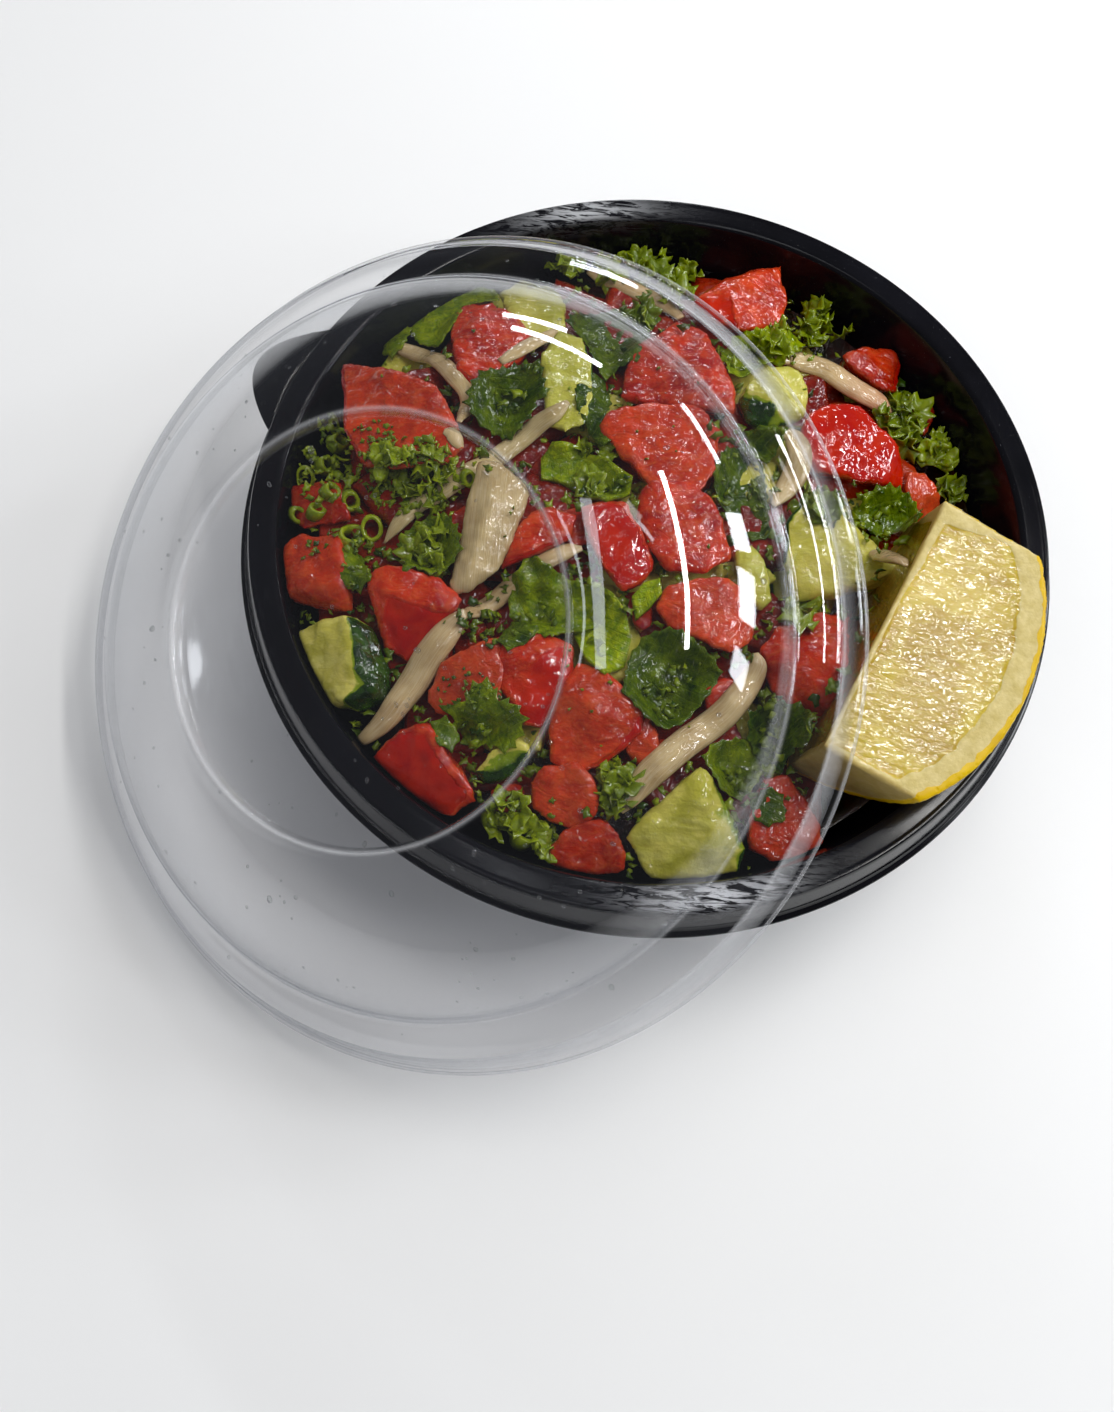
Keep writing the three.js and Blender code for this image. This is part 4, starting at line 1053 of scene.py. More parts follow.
def sheet_leaf(heap, outline, tone=0.3, lift=0.5, thick=0.45, ruffle=0.8, wave=4.0, serrate=0.0, vein=None, seed=0.0, soften=6, step=0.85, fold=0.0, droop=0.0):
    """A leaf or thin piece from its outline in the view, laid over what is there."""
    soft = GROUND.top(2, soften)
    edge = np.array([on(x, y, 0.0, soft)[:2] for x, y in outline])
    closed = np.vstack([edge, edge[:1]])
    line = []
    for i in range(len(edge)):
        a, b = closed[i], closed[i + 1]
        k = max(1, int(np.linalg.norm(b - a) / step))
        for q in range(k):
            line.append(a + (b - a) * q / k)
    line = np.array(line)
    mid = line.mean(0)
    if serrate:
        d = line - mid
        d /= np.maximum(np.linalg.norm(d, axis=1, keepdims=True), 1e-6)
        saw = np.where(np.arange(len(line)) % 3 == 0, 1.0, -0.35) * (0.7 + 0.6 * rng.random(len(line)))
        line = line + d * (serrate * saw)[:, None]
    lo, hi = line.min(0), line.max(0)
    inner = []
    for gx in np.arange(lo[0], hi[0], step):
        for gy in np.arange(lo[1], hi[1], step):
            q = np.array([gx + rng.uniform(-0.2, 0.2) * step, gy + rng.uniform(-0.2, 0.2) * step])
            if np.min(np.hypot(*(line - q).T)) < 0.55 * step:
                continue
            c = False
            j = len(line) - 1
            for i in range(len(line)):
                if (line[i, 1] > q[1]) != (line[j, 1] > q[1]) and q[0] < (line[j, 0] - line[i, 0]) * (q[1] - line[i, 1]) / (line[j, 1] - line[i, 1]) + line[i, 0]:
                    c = not c
                j = i
            if c:
                inner.append(q)
    allp = np.vstack([line, np.array(inner).reshape(-1, 2)])
    res = delaunay_2d_cdt([Vector(p) for p in allp], [(i, (i + 1) % len(line)) for i in range(len(line))], [list(range(len(line)))], 1, 1e-4)
    xy = np.array([tuple(p) for p in res[0]])
    tri = [tuple(t) for t in res[2] if len(t) == 3]
    if not tri:
        return
    base = Ground.read(soft, xy[:, 0], xy[:, 1])
    z = base + lift - 0.5
    p3 = np.stack([xy[:, 0], xy[:, 1], np.zeros(len(xy))], 1)
    near = np.array([np.min(np.hypot(line[:, 0] - x, line[:, 1] - y)) for x, y in xy])
    z = z + ruffle * hills(p3, wave, seed + 0.7) * (0.6 + 0.8 * np.exp(-near / 2.0)) - droop * np.exp(-near / 1.6)
    z = z + 0.30 * ruffle * hills(p3, 1.7, seed + 4.1)
    if vein is None:
        d = line - mid
        u_, s_, vt = np.linalg.svd(d - d.mean(0), full_matrices=False)
        ax = vt[0]
        org = mid
    else:
        a, b = on(*vein[0], 0.0, soft)[:2], on(*vein[1], 0.0, soft)[:2]
        ax, org = (b - a) / np.linalg.norm(b - a), a
    rel = xy - org
    along = rel @ ax
    across = rel @ np.array([-ax[1], ax[0]])
    z = z + fold * np.abs(across)
    # bring the raised point back onto its line of sight
    g = np.array([EYE + (np.array([x, y, b]) - EYE) * ((zz - EYE[2]) / (b - EYE[2])) for (x, y), b, zz in zip(xy, base, z)])
    m = len(g)
    under = g.copy()
    under[:, 2] -= thick
    v = np.vstack([g, under])
    faces = []
    a2 = 0.0
    for i, j, k in tri:
        a2 += (xy[j, 0] - xy[i, 0]) * (xy[k, 1] - xy[i, 1]) - (xy[k, 0] - xy[i, 0]) * (xy[j, 1] - xy[i, 1])
    if a2 < 0:
        tri = [(i, k, j) for i, j, k in tri]
    cnt = {}
    for t in tri:
        for i, j in ((t[0], t[1]), (t[1], t[2]), (t[2], t[0])):
            cnt[(i, j)] = cnt.get((i, j), 0) + 1
    for t in tri:
        faces.append(t)
        faces.append((t[2] + m, t[1] + m, t[0] + m))
    for (i, j) in cnt:
        if (j, i) not in cnt:
            faces.append((j, i, i + m, j + m))
    # painted light and shade: the leaf's tone and noise patches set how lit or shaded its green looks
    shade = np.clip(0.08 + 1.1 * tone + 0.22 * hills(p3, 3.4, seed + 8.0), 0, 1)
    heap.add(v, faces, tone=np.tile(shade, 2), along=np.tile(along, 2), across=np.tile(across, 2), skin=0.2, pale=0.0)
    GROUND.add(g)


def ring(heap, px, py, r, wall=0.95, tall=2.6, lean=0.5, turn=0.0, tone=0.6, squash=0.8, lift=0.6):
    """A slice of green onion: a short thin tube leaning on the heap."""
    soft = GROUND.soft(3)
    c = on(px, py, lift, soft)
    rot = Matrix.Rotation(turn, 3, "Z") @ Matrix.Rotation(lean, 3, "X")
    prof = [(r, -tall / 2), (r + 0.08, 0), (r, tall / 2), (r - wall * 0.5, tall / 2 + 0.12), (r - wall, tall / 2), (r - wall, 0), (r - wall, -tall / 2), (r - wall * 0.5, -tall / 2 - 0.1)]
    v, f = turned(prof, 20, closed=True)
    v[:, 0] *= squash
    v = v + 0.14 * np.stack([hills(v, 1.6, px), hills(v, 1.6, py), hills(v, 1.6, px + py)], 1)
    w = v @ np.array(rot).T + c
    heap.add(w, f, tone=np.where(np.hypot(v[:, 0], v[:, 1]) < r * 0.8, min(1.0, tone + 0.25), tone), along=v[:, 2], across=np.full(len(v), 3.0), skin=0.2, pale=0.0)
    GROUND.add(w)


def flake(heap, c, size, tone, seed, lean=0.6):
    """One bit of chopped herb: a small bent, jagged scrap."""
    n = 9
    a0 = rng.uniform(0, 6.28)
    ang = a0 + np.arange(n) * 2 * math.pi / n
    rad = size * (0.55 + 0.45 * rng.random(n)) * np.where(np.arange(n) % 2 == 0, 1.0, 0.62)
    stretch = rng.uniform(0.55, 1.0)
    x, y = np.cos(ang) * rad, np.sin(ang) * rad * stretch
    bend = rng.uniform(0.1, 0.5) * size
    z = bend * ((x / size) ** 2 - (y / size) ** 2 * 0.6) + rng.normal(0, 0.10 * size, n)
    top = np.vstack([[0, 0, 0.12 * size], np.stack([x, y, z], 1)])
    mid = np.vstack([[0, 0, -0.22], np.stack([x * 0.96, y * 0.96, z - 0.22], 1)])
    v = np.vstack([top, mid])
    rot = np.array(Matrix.Rotation(rng.uniform(0, 6.28), 3, "Z") @ Matrix.Rotation(rng.normal(0, lean), 3, "X") @ Matrix.Rotation(rng.uniform(0, 6.28), 3, "Z"))
    v = v @ rot.T + c
    f = []
    for i in range(n):
        j = (i + 1) % n
        f += [(0, 1 + i, 1 + j), (n + 1, n + 2 + j, n + 2 + i), (1 + i, n + 2 + i, n + 2 + j, 1 + j)]
    heap.add(v, f, tone=tone, along=v[:, 0], across=np.full(len(v), 3.0), skin=0.2, pale=0.0)


def curly(heap, px, py, r, count, tone=0.45, rise=2.0, seed=0):
    """A tuft of curled herb: ruffled little fans standing out of one spot."""
    soft = GROUND.soft(3)
    for k in range(count):
        a, d = rng.uniform(0, 6.28), r * math.sqrt(rng.random())
        c = on(px + 5 * d * math.cos(a), py + 5 * d * math.sin(a), rise * rng.uniform(0.2, 1.0), soft)
        nr, na = 4, 16
        size = rng.uniform(2.3, 3.9)
        v = [(0, 0, -0.3 * size)]
        ph, waves = rng.uniform(0, 6.28), rng.integers(3, 5)
        span = rng.uniform(3.6, 5.6)
        for i in range(1, nr + 1):
            for j in range(na):
                th = span * (j / (na - 1) - 0.5)
                q = i / nr
                rr = size * q * (1 + 0.16 * math.sin(waves * 2 * th + ph) * q)
                v.append((rr * math.cos(th), rr * math.sin(th), 0.34 * size * q * q * math.sin(waves * 1.7 * th + ph) + 0.25 * size * q))
        v = np.array(v)
        f = []
        for j in range(na - 1):
            f.append((0, 1 + j, 2 + j))
            for i in range(nr - 1):
                b = 1 + i * na
                f.append((b + j, b + na + j, b + na + j + 1, b + j + 1))
        m = len(v)
        under = v.copy()
        under[:, 2] -= 0.25
        allv = np.vstack([v, under])
        f2 = f + [tuple(x + m for x in q[::-1]) for q in f]
        rim = [1 + (nr - 1) * na + j for j in range(na)]
        edge = [0] + [1 + i * na for i in range(nr)] + rim[1:] + [1 + i * na + na - 1 for i in range(nr - 2, -1, -1)] + [0]
        for x, y in zip(edge[:-1], edge[1:]):
            f2.append((y, x, x + m, y + m))
        rot = np.array(Matrix.Rotation(rng.uniform(0, 6.28), 3, "Z") @ Matrix.Rotation(rng.uniform(0.1, 1.3), 3, "X") @ Matrix.Rotation(rng.uniform(0, 6.28), 3, "Z"))
        w = allv @ rot.T + c
        # painted light: each fan's green is made lighter where it curls up
        heap.add(w, f2, tone=np.clip(0.22 + tone + rng.uniform(-0.25, 0.25) + np.tile(0.16 * v[:, 2] / size, 2), 0, 1), along=allv[:, 0], across=np.full(len(allv), 3.0), skin=0.2, pale=0.0)


def herbs(heap, px, py, rx, ry, count, tone=0.45, size=(0.7, 1.7), lift=0.35):
    soft = GROUND.soft(1)
    for k in range(count):
        a, d = rng.uniform(0, 6.28), math.sqrt(rng.random())
        c = on(px + rx * d * math.cos(a), py + ry * d * math.sin(a), lift + rng.uniform(0, 0.5), soft)
        flake(heap, c, rng.uniform(*size), np.clip(tone + rng.normal(0, 0.18), 0, 1), k)


def gap_herbs(heap, outline, count, size=(0.8, 2.2)):
    """Chopped leaf in the hollows between the pieces."""
    soft, even = GROUND.soft(1), GROUND.soft(40)
    low, high = np.array(outline).min(0), np.array(outline).max(0)
    done = tries = 0
    while done < count and tries < count * 14:
        tries += 1
        px, py = rng.uniform(low[0], high[0]), rng.uniform(low[1], high[1])
        inside, j = False, len(outline) - 1
        for i in range(len(outline)):
            (ax, ay), (bx, by) = outline[i], outline[j]
            if (ay > py) != (by > py) and px < (bx - ax) * (py - ay) / (by - ay) + ax:
                inside = not inside
            j = i
        if not inside:
            continue
        c = on(px, py, 0.0, soft)
        if c[2] > float(Ground.read(even, c[0], c[1])) - 1.3:
            continue
        c = on(px, py, rng.uniform(0.3, 2.0), soft)
        flake(heap, c, rng.uniform(*size), np.clip(0.38 + rng.normal(0, 0.22), 0, 1), tries, lean=0.9)
        done += 1


HEAP_LINE = [(590, 245), (700, 245), (790, 270), (855, 310), (905, 355), (935, 400), (960, 440), (935, 500), (905, 540), (870, 620), (840, 700),
             (810, 790), (825, 860), (745, 880), (620, 880), (540, 860), (460, 820), (370, 760), (345, 745), (295, 690), (280, 600), (285, 500),
             (290, 430), (340, 360), (400, 310), (450, 280), (520, 245)]


def salad(lemon_points):
    tomatoes, cucumbers, onions, leaves, bits = (Heap(True) for _ in range(5))
    # core: a smaller heap under everything, painted dark as the shade seen in the gaps between the pieces
    prof = []
    steps = 72
    rows = []
    for j in range(steps):
        a = 2 * math.pi * j / steps
        col = [(0.0, 0.0, 1.5), (40 * math.cos(a), 40 * math.sin(a), 1.6)]
        for z in (4.0, 10.0, 18.0, 27.0, 35.0):
            r = wall_radius(z) - 1.6
            col.append((r * math.cos(a), r * math.sin(a), z))
        for r in (72.0, 64.0, 54.0, 42.0, 30.0, 18.0, 8.0):
            x, y = r * math.cos(a), r * math.sin(a)
            z = heap_height(x, y) - 10.0
            if x > 16 and y > -34:
                z -= 16.0 * min(1.0, max(0.0, (r - 44) / 12))
            if (x - 24) * 0.89 + (y + 50) * -0.455 > -6 and x > 20 and y < 6:
                z = min(z, 28.0)
            col.append((x, y, min(z, 38.5) if r > 70 else z))
        rows.append(col)
    w = len(rows[0])
    v = [p for col in rows for p in col]
    f = [(j * w + i, ((j + 1) % steps) * w + i, ((j + 1) % steps) * w + i + 1, j * w + i + 1) for j in range(steps) for i in range(w - 1)]
    v.append((0, 0, heap_height(0, 0) - 9.0))
    f += [(j * w + w - 1, ((j + 1) % steps) * w + w - 1, len(v) - 1) for j in range(steps)]
    v = np.array(v)
    v[:, 2] += np.where(v[:, 2] > 30, 0.8 * hills(v, 6.0, 9.0), 0)
    core = make("salad_core", hold_in(v, 1.2), f, CORE)

    filler(tomatoes, cucumbers)
    for i, t in enumerate(TOMATOES):
        chunk(tomatoes, seed=i * 1.7 + 1, **t)
    for i, t in enumerate(CUCUMBERS):
        chunk(cucumbers, seed=i * 2.3 + 50, **t)

    GROUND.add(lemon_points)
    # thick green pieces: folded pepper and stalk bits
    sheet_leaf(leaves, [(541, 458), (552, 442), (575, 445), (600, 455), (617, 466), (633, 476), (630, 492), (606, 501), (580, 493), (558, 480), (541, 478)], tone=0.55, lift=1.2, thick=1.6, ruffle=1.2, wave=5, seed=1)
    sheet_leaf(leaves, [(572, 592), (590, 581), (612, 592), (626, 610), (631, 640), (625, 666), (605, 674), (585, 656), (571, 630)], tone=0.75, lift=1.0, thick=1.8, ruffle=1.0, wave=5, seed=2, fold=0.15)
    sheet_leaf(leaves, [(632, 596), (645, 582), (660, 578), (662, 592), (650, 606), (636, 618)], tone=0.95, lift=0.8, thick=2.0, ruffle=0.6, seed=3)

    # onion strips
    S = lambda *a, **k: strip(onions, *a, **k)
    S([(590, 271, 1.0), (612, 281, 1.8), (640, 293, 1.9), (664, 305, 1.7), (681, 318, 0.9)], tone=0.36, seed=1)
    S([(500, 362, 0.8), (520, 350, 1.5), (543, 338, 1.3), (556, 330, 0.6)], tone=0.42, seed=2)
    S([(393, 349, 0.7), (406, 350, 1.6), (428, 357, 1.8), (452, 374, 1.8), (468, 396, 1.7), (464, 414, 1.3), (459, 422, 0.5)], tone=0.45, lift=0.5, seed=3)
    S([(384, 543, 0.2), (398, 524, 1.4), (420, 503, 1.9), (452, 484, 2.0), (490, 462, 2.0), (525, 436, 2.0), (552, 415, 1.8), (568, 402, 0.6)], tone=0.62, lift=0.6, seed=4)
    S([(444, 431, 0.6), (452, 434, 1.4), (458, 443, 1.2), (462, 449, 0.4)], tone=0.40, seed=5)
    S([(458, 618, 0.4), (475, 611, 1.5), (498, 598, 1.8), (520, 580, 1.8), (545, 562, 1.7), (568, 551, 1.5), (582, 548, 0.5)], tone=0.40, seed=6)
    S([(346, 746, 0.15), (362, 740, 1.2), (385, 720, 2.1), (405, 694, 2.6), (424, 664, 2.8), (444, 636, 2.6), (458, 620, 1.7), (465, 610, 0.5)], tone=0.40, lift=0.8, seed=7, flat=0.55)
    S([(622, 813, 0.2), (630, 800, 1.5), (646, 778, 2.5), (672, 754, 2.7), (700, 733, 2.7), (726, 712, 2.6), (744, 690, 2.4), (757, 668, 1.8), (755, 653, 0.6)], tone=0.42, lift=0.8, seed=8, flat=0.55)
    S([(776, 360, 0.8), (792, 359, 1.9), (815, 366, 2.3), (840, 379, 2.4), (864, 394, 2.3), (882, 405, 1.9), (892, 412, 0.5)], tone=(0.5, 0.46, 0.38, 0.20, 0.08), lift=0.8, seed=9, flat=0.5)
    S([(783, 432, 0.9), (794, 438, 2.0), (800, 455, 2.4), (794, 476, 2.4), (782, 494, 1.8), (773, 506, 0.5)], tone=0.47, lift=0.6, seed=10)
    S([(872, 552, 0.8), (884, 556, 1.9), (898, 560, 1.6), (906, 566, 0.4)], tone=0.42, seed=11)
    # thick pale stalk piece
    chunk(onions_chunk := Heap(), top=[(478, 457, 1.5), (500, 460, 2.5), (520, 478, 2.5), (530, 490, 1), (525, 512, 0.5), (514, 540, 0.5), (500, 570, 0), (470, 592, -0.5), (452, 597, -1), (448, 588, -0.5), (459, 558, 1), (466, 520, 1), (470, 485, 1), (492, 500, 4.0), (470, 575, 2.0)], thick=6, seed=70, lumps=0.3, size=0.8)
    ov = np.concatenate(onions_chunk.v)
    onions.add(ov, onions_chunk.f, tone=np.clip(0.52 + 0.010 * (ov[:, 0] + ov[:, 1] + 30), 0.44, 0.62), along=ov[:, 1] * 0.9 + ov[:, 0] * 0.35, across=ov[:, 0])

    # whole leaves
    Lf = lambda *a, **k: sheet_leaf(leaves, *a, **k)
    Lf([(566, 320), (580, 312), (602, 313), (625, 306), (646, 306), (662, 318), (650, 331), (645, 346), (640, 359), (620, 366), (604, 380), (594, 360), (580, 336)], tone=0.10, serrate=0.5, seed=11)
    Lf([(480, 371), (503, 368), (525, 362), (541, 361), (544, 380), (548, 395), (538, 399), (532, 413), (518, 430), (509, 440), (490, 431), (477, 421), (466, 402), (469, 388)], tone=0.06, serrate=0.7, lift=1.0, vein=((478, 372), (540, 408)), fold=0.16, ruffle=1.0, seed=12)
    Lf([(622, 690), (630, 655), (645, 635), (665, 628), (682, 630), (700, 645), (712, 655), (722, 672), (712, 690), (700, 705), (685, 722), (665, 729), (645, 716)], tone=0.10, serrate=0.3, lift=1.0, vein=((630, 680), (715, 668)), seed=13)
    Lf([(514, 575), (524, 560), (534, 555), (546, 563), (562, 575), (580, 583), (600, 586), (606, 605), (602, 622), (577, 632), (545, 636), (520, 629), (508, 605)], tone=0.38, serrate=0.35, lift=1.1, ruffle=1.9, wave=3.4, seed=14)
    Lf([(444, 706), (465, 700), (470, 686), (482, 680), (492, 684), (500, 700), (515, 703), (526, 718), (520, 738), (507, 752), (486, 745), (466, 746), (456, 727)], tone=0.30, serrate=1.0, lift=1.0, vein=((445, 706), (520, 742)), fold=0.15, ruffle=1.1, seed=15)
    Lf([(703, 756), (714, 742), (740, 738), (763, 741), (767, 765), (756, 785), (741, 800), (722, 790), (712, 771)], tone=0.34, serrate=0.4, lift=0.8, seed=16)
    Lf([(752, 800), (768, 786), (783, 795), (786, 820), (765, 826), (752, 815)], tone=0.08, serrate=0.4, seed=17)
    Lf([(398, 545), (412, 525), (430, 515), (447, 513), (458, 528), (461, 548), (448, 568), (430, 573), (415, 566), (402, 575), (404, 556)], tone=0.25, serrate=0.5, lift=0.8, seed=18)
    Lf([(855, 511), (869, 490), (890, 484), (911, 495), (922, 515), (906, 531), (880, 536), (862, 526)], tone=0.15, serrate=0.5, lift=0.8, seed=19)
    Lf([(575, 385), (590, 372), (604, 380), (612, 402), (604, 420), (612, 440), (600, 446), (585, 425), (576, 405)], tone=0.02, serrate=0.3, lift=0.2, seed=20)
    Lf([(712, 470), (725, 448), (745, 440), (762, 460), (768, 500), (770, 535), (752, 540), (735, 520), (718, 500)], tone=0.05, serrate=0.4, lift=0.2, seed=21)
    Lf([(745, 432), (765, 425), (788, 428), (780, 445), (770, 462), (752, 455)], tone=0.08, serrate=0.4, seed=22)
    Lf([(405, 322), (420, 303), (440, 290), (466, 283), (496, 290), (498, 300), (465, 306), (452, 326), (438, 346), (418, 342)], tone=0.55, serrate=0.3, lift=0.4, seed=23)
    Lf([(383, 352), (386, 334), (400, 322), (412, 328), (404, 345), (392, 358)], tone=0.35, serrate=0.4, seed=24)
    Lf([(722, 352), (735, 335), (760, 328), (790, 330), (806, 345), (790, 356), (768, 362), (745, 376), (728, 372)], tone=0.62, serrate=0.5, lift=0.6, seed=25)
    Lf([(750, 712), (773, 698), (798, 704), (806, 722), (800, 742), (788, 758), (780, 776), (762, 764), (748, 738)], tone=0.05, serrate=0.5, lift=0.2, seed=30)
    Lf([(790, 720), (800, 702), (812, 712), (812, 736), (800, 752), (790, 744)], tone=0.06, serrate=0.3, lift=0.0, seed=26)
    Lf([(334, 560), (346, 545), (362, 556), (372, 575), (360, 592), (344, 585)], tone=0.22, serrate=0.4, seed=27)
    Lf([(430, 722), (446, 716), (460, 735), (452, 752), (436, 742)], tone=0.25, serrate=0.3, seed=28)
    Lf([(497, 640), (512, 622), (540, 628), (528, 642), (508, 650)], tone=0.12, serrate=0.3, seed=29)

    # green onion slices at the left
    R = lambda *a, **k: ring(bits, *a, **k)
    R(312, 431, 2.6, turn=0.6, lean=0.9, tone=0.75, squash=0.6)
    R(334, 424, 2.3, turn=0.3, lean=1.0, tone=0.7, squash=0.5)
    R(338, 444, 2.4, turn=2.0, lean=0.7, tone=0.72)
    R(309, 454, 1.7, turn=1.0, lean=0.3, tone=1.0)
    R(305, 478, 2.8, turn=0.2, lean=0.6, tone=0.65)
    R(326, 466, 2.4, turn=1.4, lean=0.8, tone=0.6)
    R(297, 515, 2.1, turn=0.9, lean=0.7, tone=0.5)
    R(316, 512, 2.2, turn=2.4, lean=0.6, tone=0.55)
    R(330, 492, 2.2, turn=1.8, lean=0.8, tone=0.6)
    R(352, 538, 3.4, turn=2.6, lean=0.5, tone=0.95, tall=3.0)
    R(372, 528, 2.9, turn=0.2, lean=0.6, tone=1.0, tall=2.6)
    R(350, 500, 2.4, turn=0.5, lean=0.9, tone=0.7)
    R(525, 836, 3.1, turn=2.4, lean=0.6, tone=0.8, tall=3.2)
    R(492, 822, 2.4, turn=0.6, lean=0.8, tone=0.6)
    R(468, 478, 2.0, turn=0.6, lean=0.8, tone=0.6)
    R(955, 436, 3.3, turn=1.2, lean=0.35, tone=0.7, tall=2.0, wall=0.8)

    # tufts of curled herb
    C = lambda *a, **k: curly(bits, *a, **k)
    C(615, 262, 3.0, 10, tone=0.45)
    C(655, 262, 4.2, 16, tone=0.40, rise=3.0)
    C(690, 262, 3.0, 10, tone=0.45, rise=3.0)
    C(675, 290, 3.0, 8, tone=0.5)
    C(826, 322, 4.4, 18, tone=0.42, rise=3.2)
    C(836, 300, 2.4, 6, tone=0.45, rise=3.0)
    C(940, 455, 3.6, 12, tone=0.35, rise=2.4)
    C(953, 486, 2.2, 6, tone=0.25)
    C(900, 412, 3.6, 12, tone=0.22, rise=2.0)
    C(905, 436, 3.0, 8, tone=0.25, rise=1.6)
    C(570, 262, 3.0, 8, tone=0.5)
    C(505, 815, 3.4, 9, tone=0.45)
    C(540, 838, 3.0, 7, tone=0.62)
    C(616, 778, 2.6, 8, tone=0.42)
    C(610, 795, 2.0, 5, tone=0.35)
    C(800, 615, 2.6, 6, tone=0.25)
    C(815, 500, 3.0, 6, tone=0.25)
    C(780, 345, 3.4, 8, tone=0.55)
    C(640, 310, 2.6, 5, tone=0.25)

    # chopped herbs, in drifts where they lie thickest and a few everywhere
    H = lambda *a, **k: herbs(bits, *a, **k)
    gap_herbs(bits, HEAP_LINE, 620)
    H(412, 475, 54, 40, 150, tone=0.62, size=(0.9, 2.2))
    C(430, 478, 5.0, 14, tone=0.5, rise=1.6)
    C(392, 470, 4.0, 8, tone=0.45, rise=1.4)
    C(428, 545, 4.6, 12, tone=0.45, rise=1.6)
    C(596, 470, 5.0, 6, tone=0.4, rise=1.2)
    H(375, 440, 24, 20, 34, tone=0.35, size=(0.5, 1.1))
    H(322, 462, 36, 44, 60, tone=0.6, size=(0.8, 1.8))
    H(358, 562, 14, 30, 26, tone=0.4)
    H(310, 548, 18, 12, 9, tone=0.3, size=(0.6, 1.2))
    H(470, 690, 34, 22, 40, tone=0.25, size=(0.4, 1.0))
    H(480, 630, 40, 20, 26, tone=0.2)
    H(540, 800, 60, 50, 10, tone=0.4)
    H(612, 780, 22, 22, 12, tone=0.4)
    H(752, 470, 30, 50, 22, tone=0.3)
    H(850, 505, 60, 22, 26, tone=0.4)
    H(780, 345, 46, 22, 40, tone=0.6)
    H(620, 285, 70, 24, 36, tone=0.5)
    H(760, 790, 40, 24, 10, tone=0.3)
    H(640, 560, 150, 200, 30, tone=0.4, size=(0.35, 0.8))
    H(520, 400, 150, 100, 16, tone=0.4, size=(0.35, 0.8))

    out = []
    for ob, kind in (
        (core, None),
        (tomatoes.build("tomato_pieces", TOMATO), None),
        (cucumbers.build("cucumber_pieces", CUCUMBER), None),
        (onions.build("onion_strips", ONION), None),
        (leaves.build("whole_leaves", LEAF), None),
        (bits.build("chopped_herbs", HERB), None),
    ):
        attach(ob, "root")
        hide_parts("salad")
        out.append(ob)
    return out


# ---------------------------------------------------------------- droplets
def droplets():
    """Condensation on the inside of the lid."""
    h = Heap()
    ball, bf = turned([(0, 0.55), (0.35, 0.48), (0.62, 0.30), (0.85, 0.05), (0.8, -0.1), (0, -0.12)], 10, closed=False)
    line = lid_line()
    seg = np.concatenate([[0], np.cumsum(np.hypot(*np.diff(line, axis=0).T))])
    for k in range(430):
        s = rng.uniform(8, seg[-1] - 12)
        r, z = np.interp(s, seg, line[:, 0]), np.interp(s, seg, line[:, 1])
        if rng.random() > r / 88:
            continue
        e = 0.3
        t = np.array([np.interp(s + e, seg, line[:, 0]) - np.interp(s - e, seg, line[:, 0]), np.interp(s + e, seg, line[:, 1]) - np.interp(s - e, seg, line[:, 1])])
        t /= np.linalg.norm(t)
        a = rng.uniform(0, 6.28)
        nr, nz = t[1], -t[0]
        nrm = np.array([nr * math.cos(a), nr * math.sin(a), nz])
        p = np.array([(r + nr * 0.62) * math.cos(a), (r + nr * 0.62) * math.sin(a), z + nz * 0.62])
        q = Vector(nrm).to_track_quat("Z", "Y").to_matrix()
        size = rng.uniform(0.22, 0.55) * (1.5 if rng.random() < 0.12 else 1.0)
        v = ball * size * np.array([1, rng.uniform(1.0, 1.5), 0.8])
        h.add(lid_world(v @ np.array(q).T + p), bf)
    ob = h.build("condensation", DROPS)
    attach(ob, "root")
    return ob


# ---------------------------------------------------------------- camera, floor, lights
def camera():
    cam = bpy.data.cameras.new("camera")
    cam.sensor_fit, cam.sensor_width = "AUTO", 36.0
    cam.lens = FOCAL * 36.0 / HIGH
    cam.clip_start, cam.clip_end = 0.01, 20
    ob = bpy.data.objects.new("camera", cam)
    bpy.context.scene.collection.objects.link(ob)
    m = Matrix.Identity(4)
    for i in range(3):
        m[i][0], m[i][1], m[i][2], m[i][3] = RIGHT[i], UP[i], -AHEAD[i], EYE[i] * MM
    ob.matrix_world = m
    bpy.context.scene.camera = ob


def floor():
    v = [(-3000, -3000, 0), (3000, -3000, 0), (3000, 3000, 0), (-3000, 3000, 0)]
    ob = make("table_top", v, [(0, 1, 2, 3)], floor_paint(), smooth=False)


def lamp(name, where, aim, size, radiance, color=(1, 1, 1)):
    d = bpy.data.lights.new(name, "AREA")
    d.shape, d.size, d.size_y = "RECTANGLE", size[0], size[1]
    d.energy = radiance * math.pi * size[0] * size[1]
    d.color = color
    ob = bpy.data.objects.new(name, d)
    bpy.context.scene.collection.objects.link(ob)
    ob.location = where
    z = (Vector(where) - Vector(aim)).normalized()
    ob.rotation_euler = z.to_track_quat("Z", "Y").to_euler()
    return ob


def tube(name, a, b, width, radiance, color=(1, 1, 1)):
    """A straight ceiling lamp from a to b, shining down at the table."""
    a, b = Vector(a), Vector(b)
    d = bpy.data.lights.new(name, "AREA")
    d.shape, d.size, d.size_y = "RECTANGLE", width, (b - a).length
    d.energy = radiance * math.pi * width * (b - a).length
    d.color = color
    ob = bpy.data.objects.new(name, d)
    bpy.context.scene.collection.objects.link(ob)
    y = (b - a).normalized()
    z = ((a + b) / 2 - Vector((0, 0, 0.06))).normalized()
    x = y.cross(z).normalized()
    z = x.cross(y)
    m = Matrix.Identity(4)
    for i in range(3):
        m[i][0], m[i][1], m[i][2], m[i][3] = x[i], y[i], z[i], ((a + b) / 2)[i]
    ob.matrix_world = m
    return ob


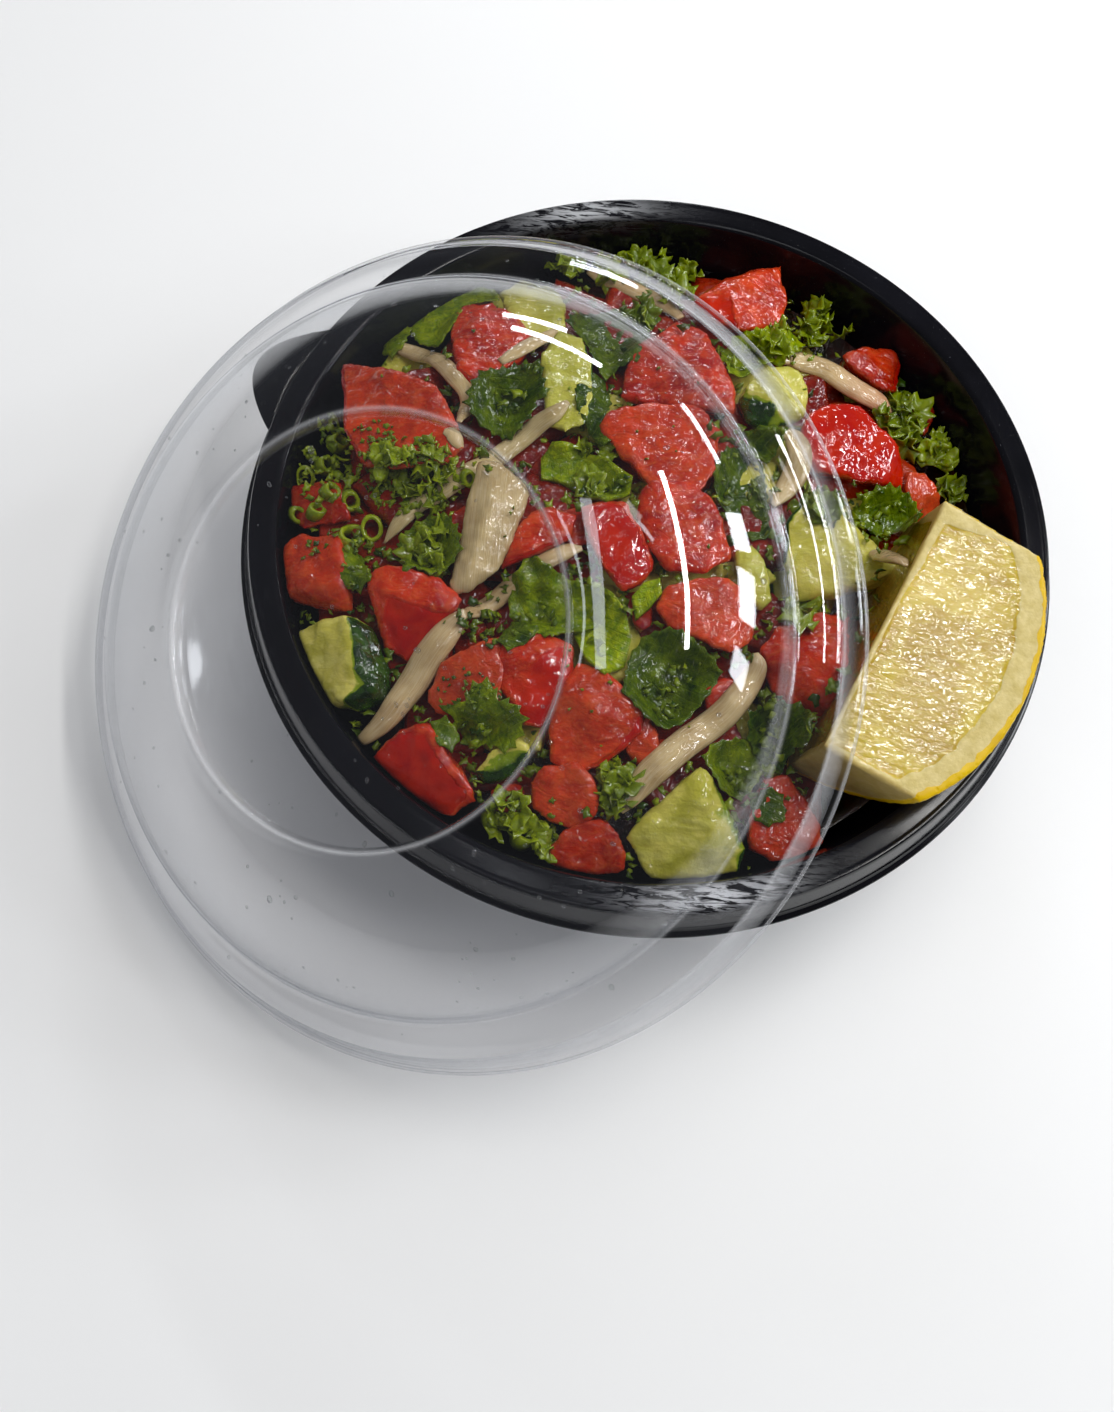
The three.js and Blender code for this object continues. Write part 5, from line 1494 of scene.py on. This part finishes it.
def lights():
    w = bpy.data.worlds.new("room")
    bpy.context.scene.world = w
    w.use_nodes = True
    bg = w.node_tree.nodes["Background"]
    bg.inputs[0].default_value = (0.86, 0.90, 1.0, 1)
    bg.inputs[1].default_value = 0.10
    warm, cool = (1, 0.985, 0.955), (0.94, 0.97, 1)
    soft = lamp("soft_above", (0.42, 0.62, 1.45), (0, 0, 0.05), (1.1, 1.1), 2.3, warm)
    soft.visible_glossy = False
    fill = lamp("fill_left", (-0.95, -0.55, 1.15), (0, 0, 0.05), (1.3, 1.3), 0.95, (0.97, 0.98, 1))
    fill.visible_glossy = False
    tube("ceiling_tube", (0.346, 0.480, 1.0), (0.507, -0.257, 1.0), 0.034, 44, warm)
    tube("far_tube_low", (-0.22, 0.963, 0.358), (0.0, 0.961, 0.41), 0.028, 30, cool)
    tube("far_tube_high", (-0.218, 0.909, 0.494), (0.101, 0.843, 0.626), 0.030, 36, cool)
    tube("side_tube", (0.471, 0.823, 0.411), (0.656, 0.637, 0.491), 0.030, 24, cool)
    tube("faint_tube", (-0.084, 0.201, 1.0), (0.0, -0.363, 1.0), 0.05, 4, cool)
    lamp("small_lamp", (0.13, 0.20, 1.0), (0, 0, 0.05), (0.08, 0.05), 3, warm)
    tube("left_tube", (-0.914, -0.10, 0.619), (-0.896, -0.258, 0.595), 0.016, 6, cool)
    lamp("rim_lamp_far", (0.001, 0.756, 0.791), (0, 0.086, 0.048), (0.11, 0.014), 6, cool)
    lamp("rim_lamp_near", (0.20, 0.147, 1.03), (0.03, -0.083, 0.048), (0.10, 0.018), 6, cool)
    lamp("window_a", (0.80, 0.385, 0.59), (0, 0, 0.08), (0.16, 0.19), 18, cool)
    lamp("window_b", (0.875, 0.12, 0.60), (0, 0, 0.08), (0.22, 0.20), 15, cool)
    lamp("window_c", (0.86, -0.19, 0.61), (0, 0, 0.08), (0.13, 0.20), 11, cool)


def main():
    camera()
    floor()
    build_bowl()
    build_lid()
    _, lemon_points = build_lemon()
    salad(lemon_points)
    droplets()
    lights()
    bpy.context.scene.view_settings.view_transform = "Standard"


main()
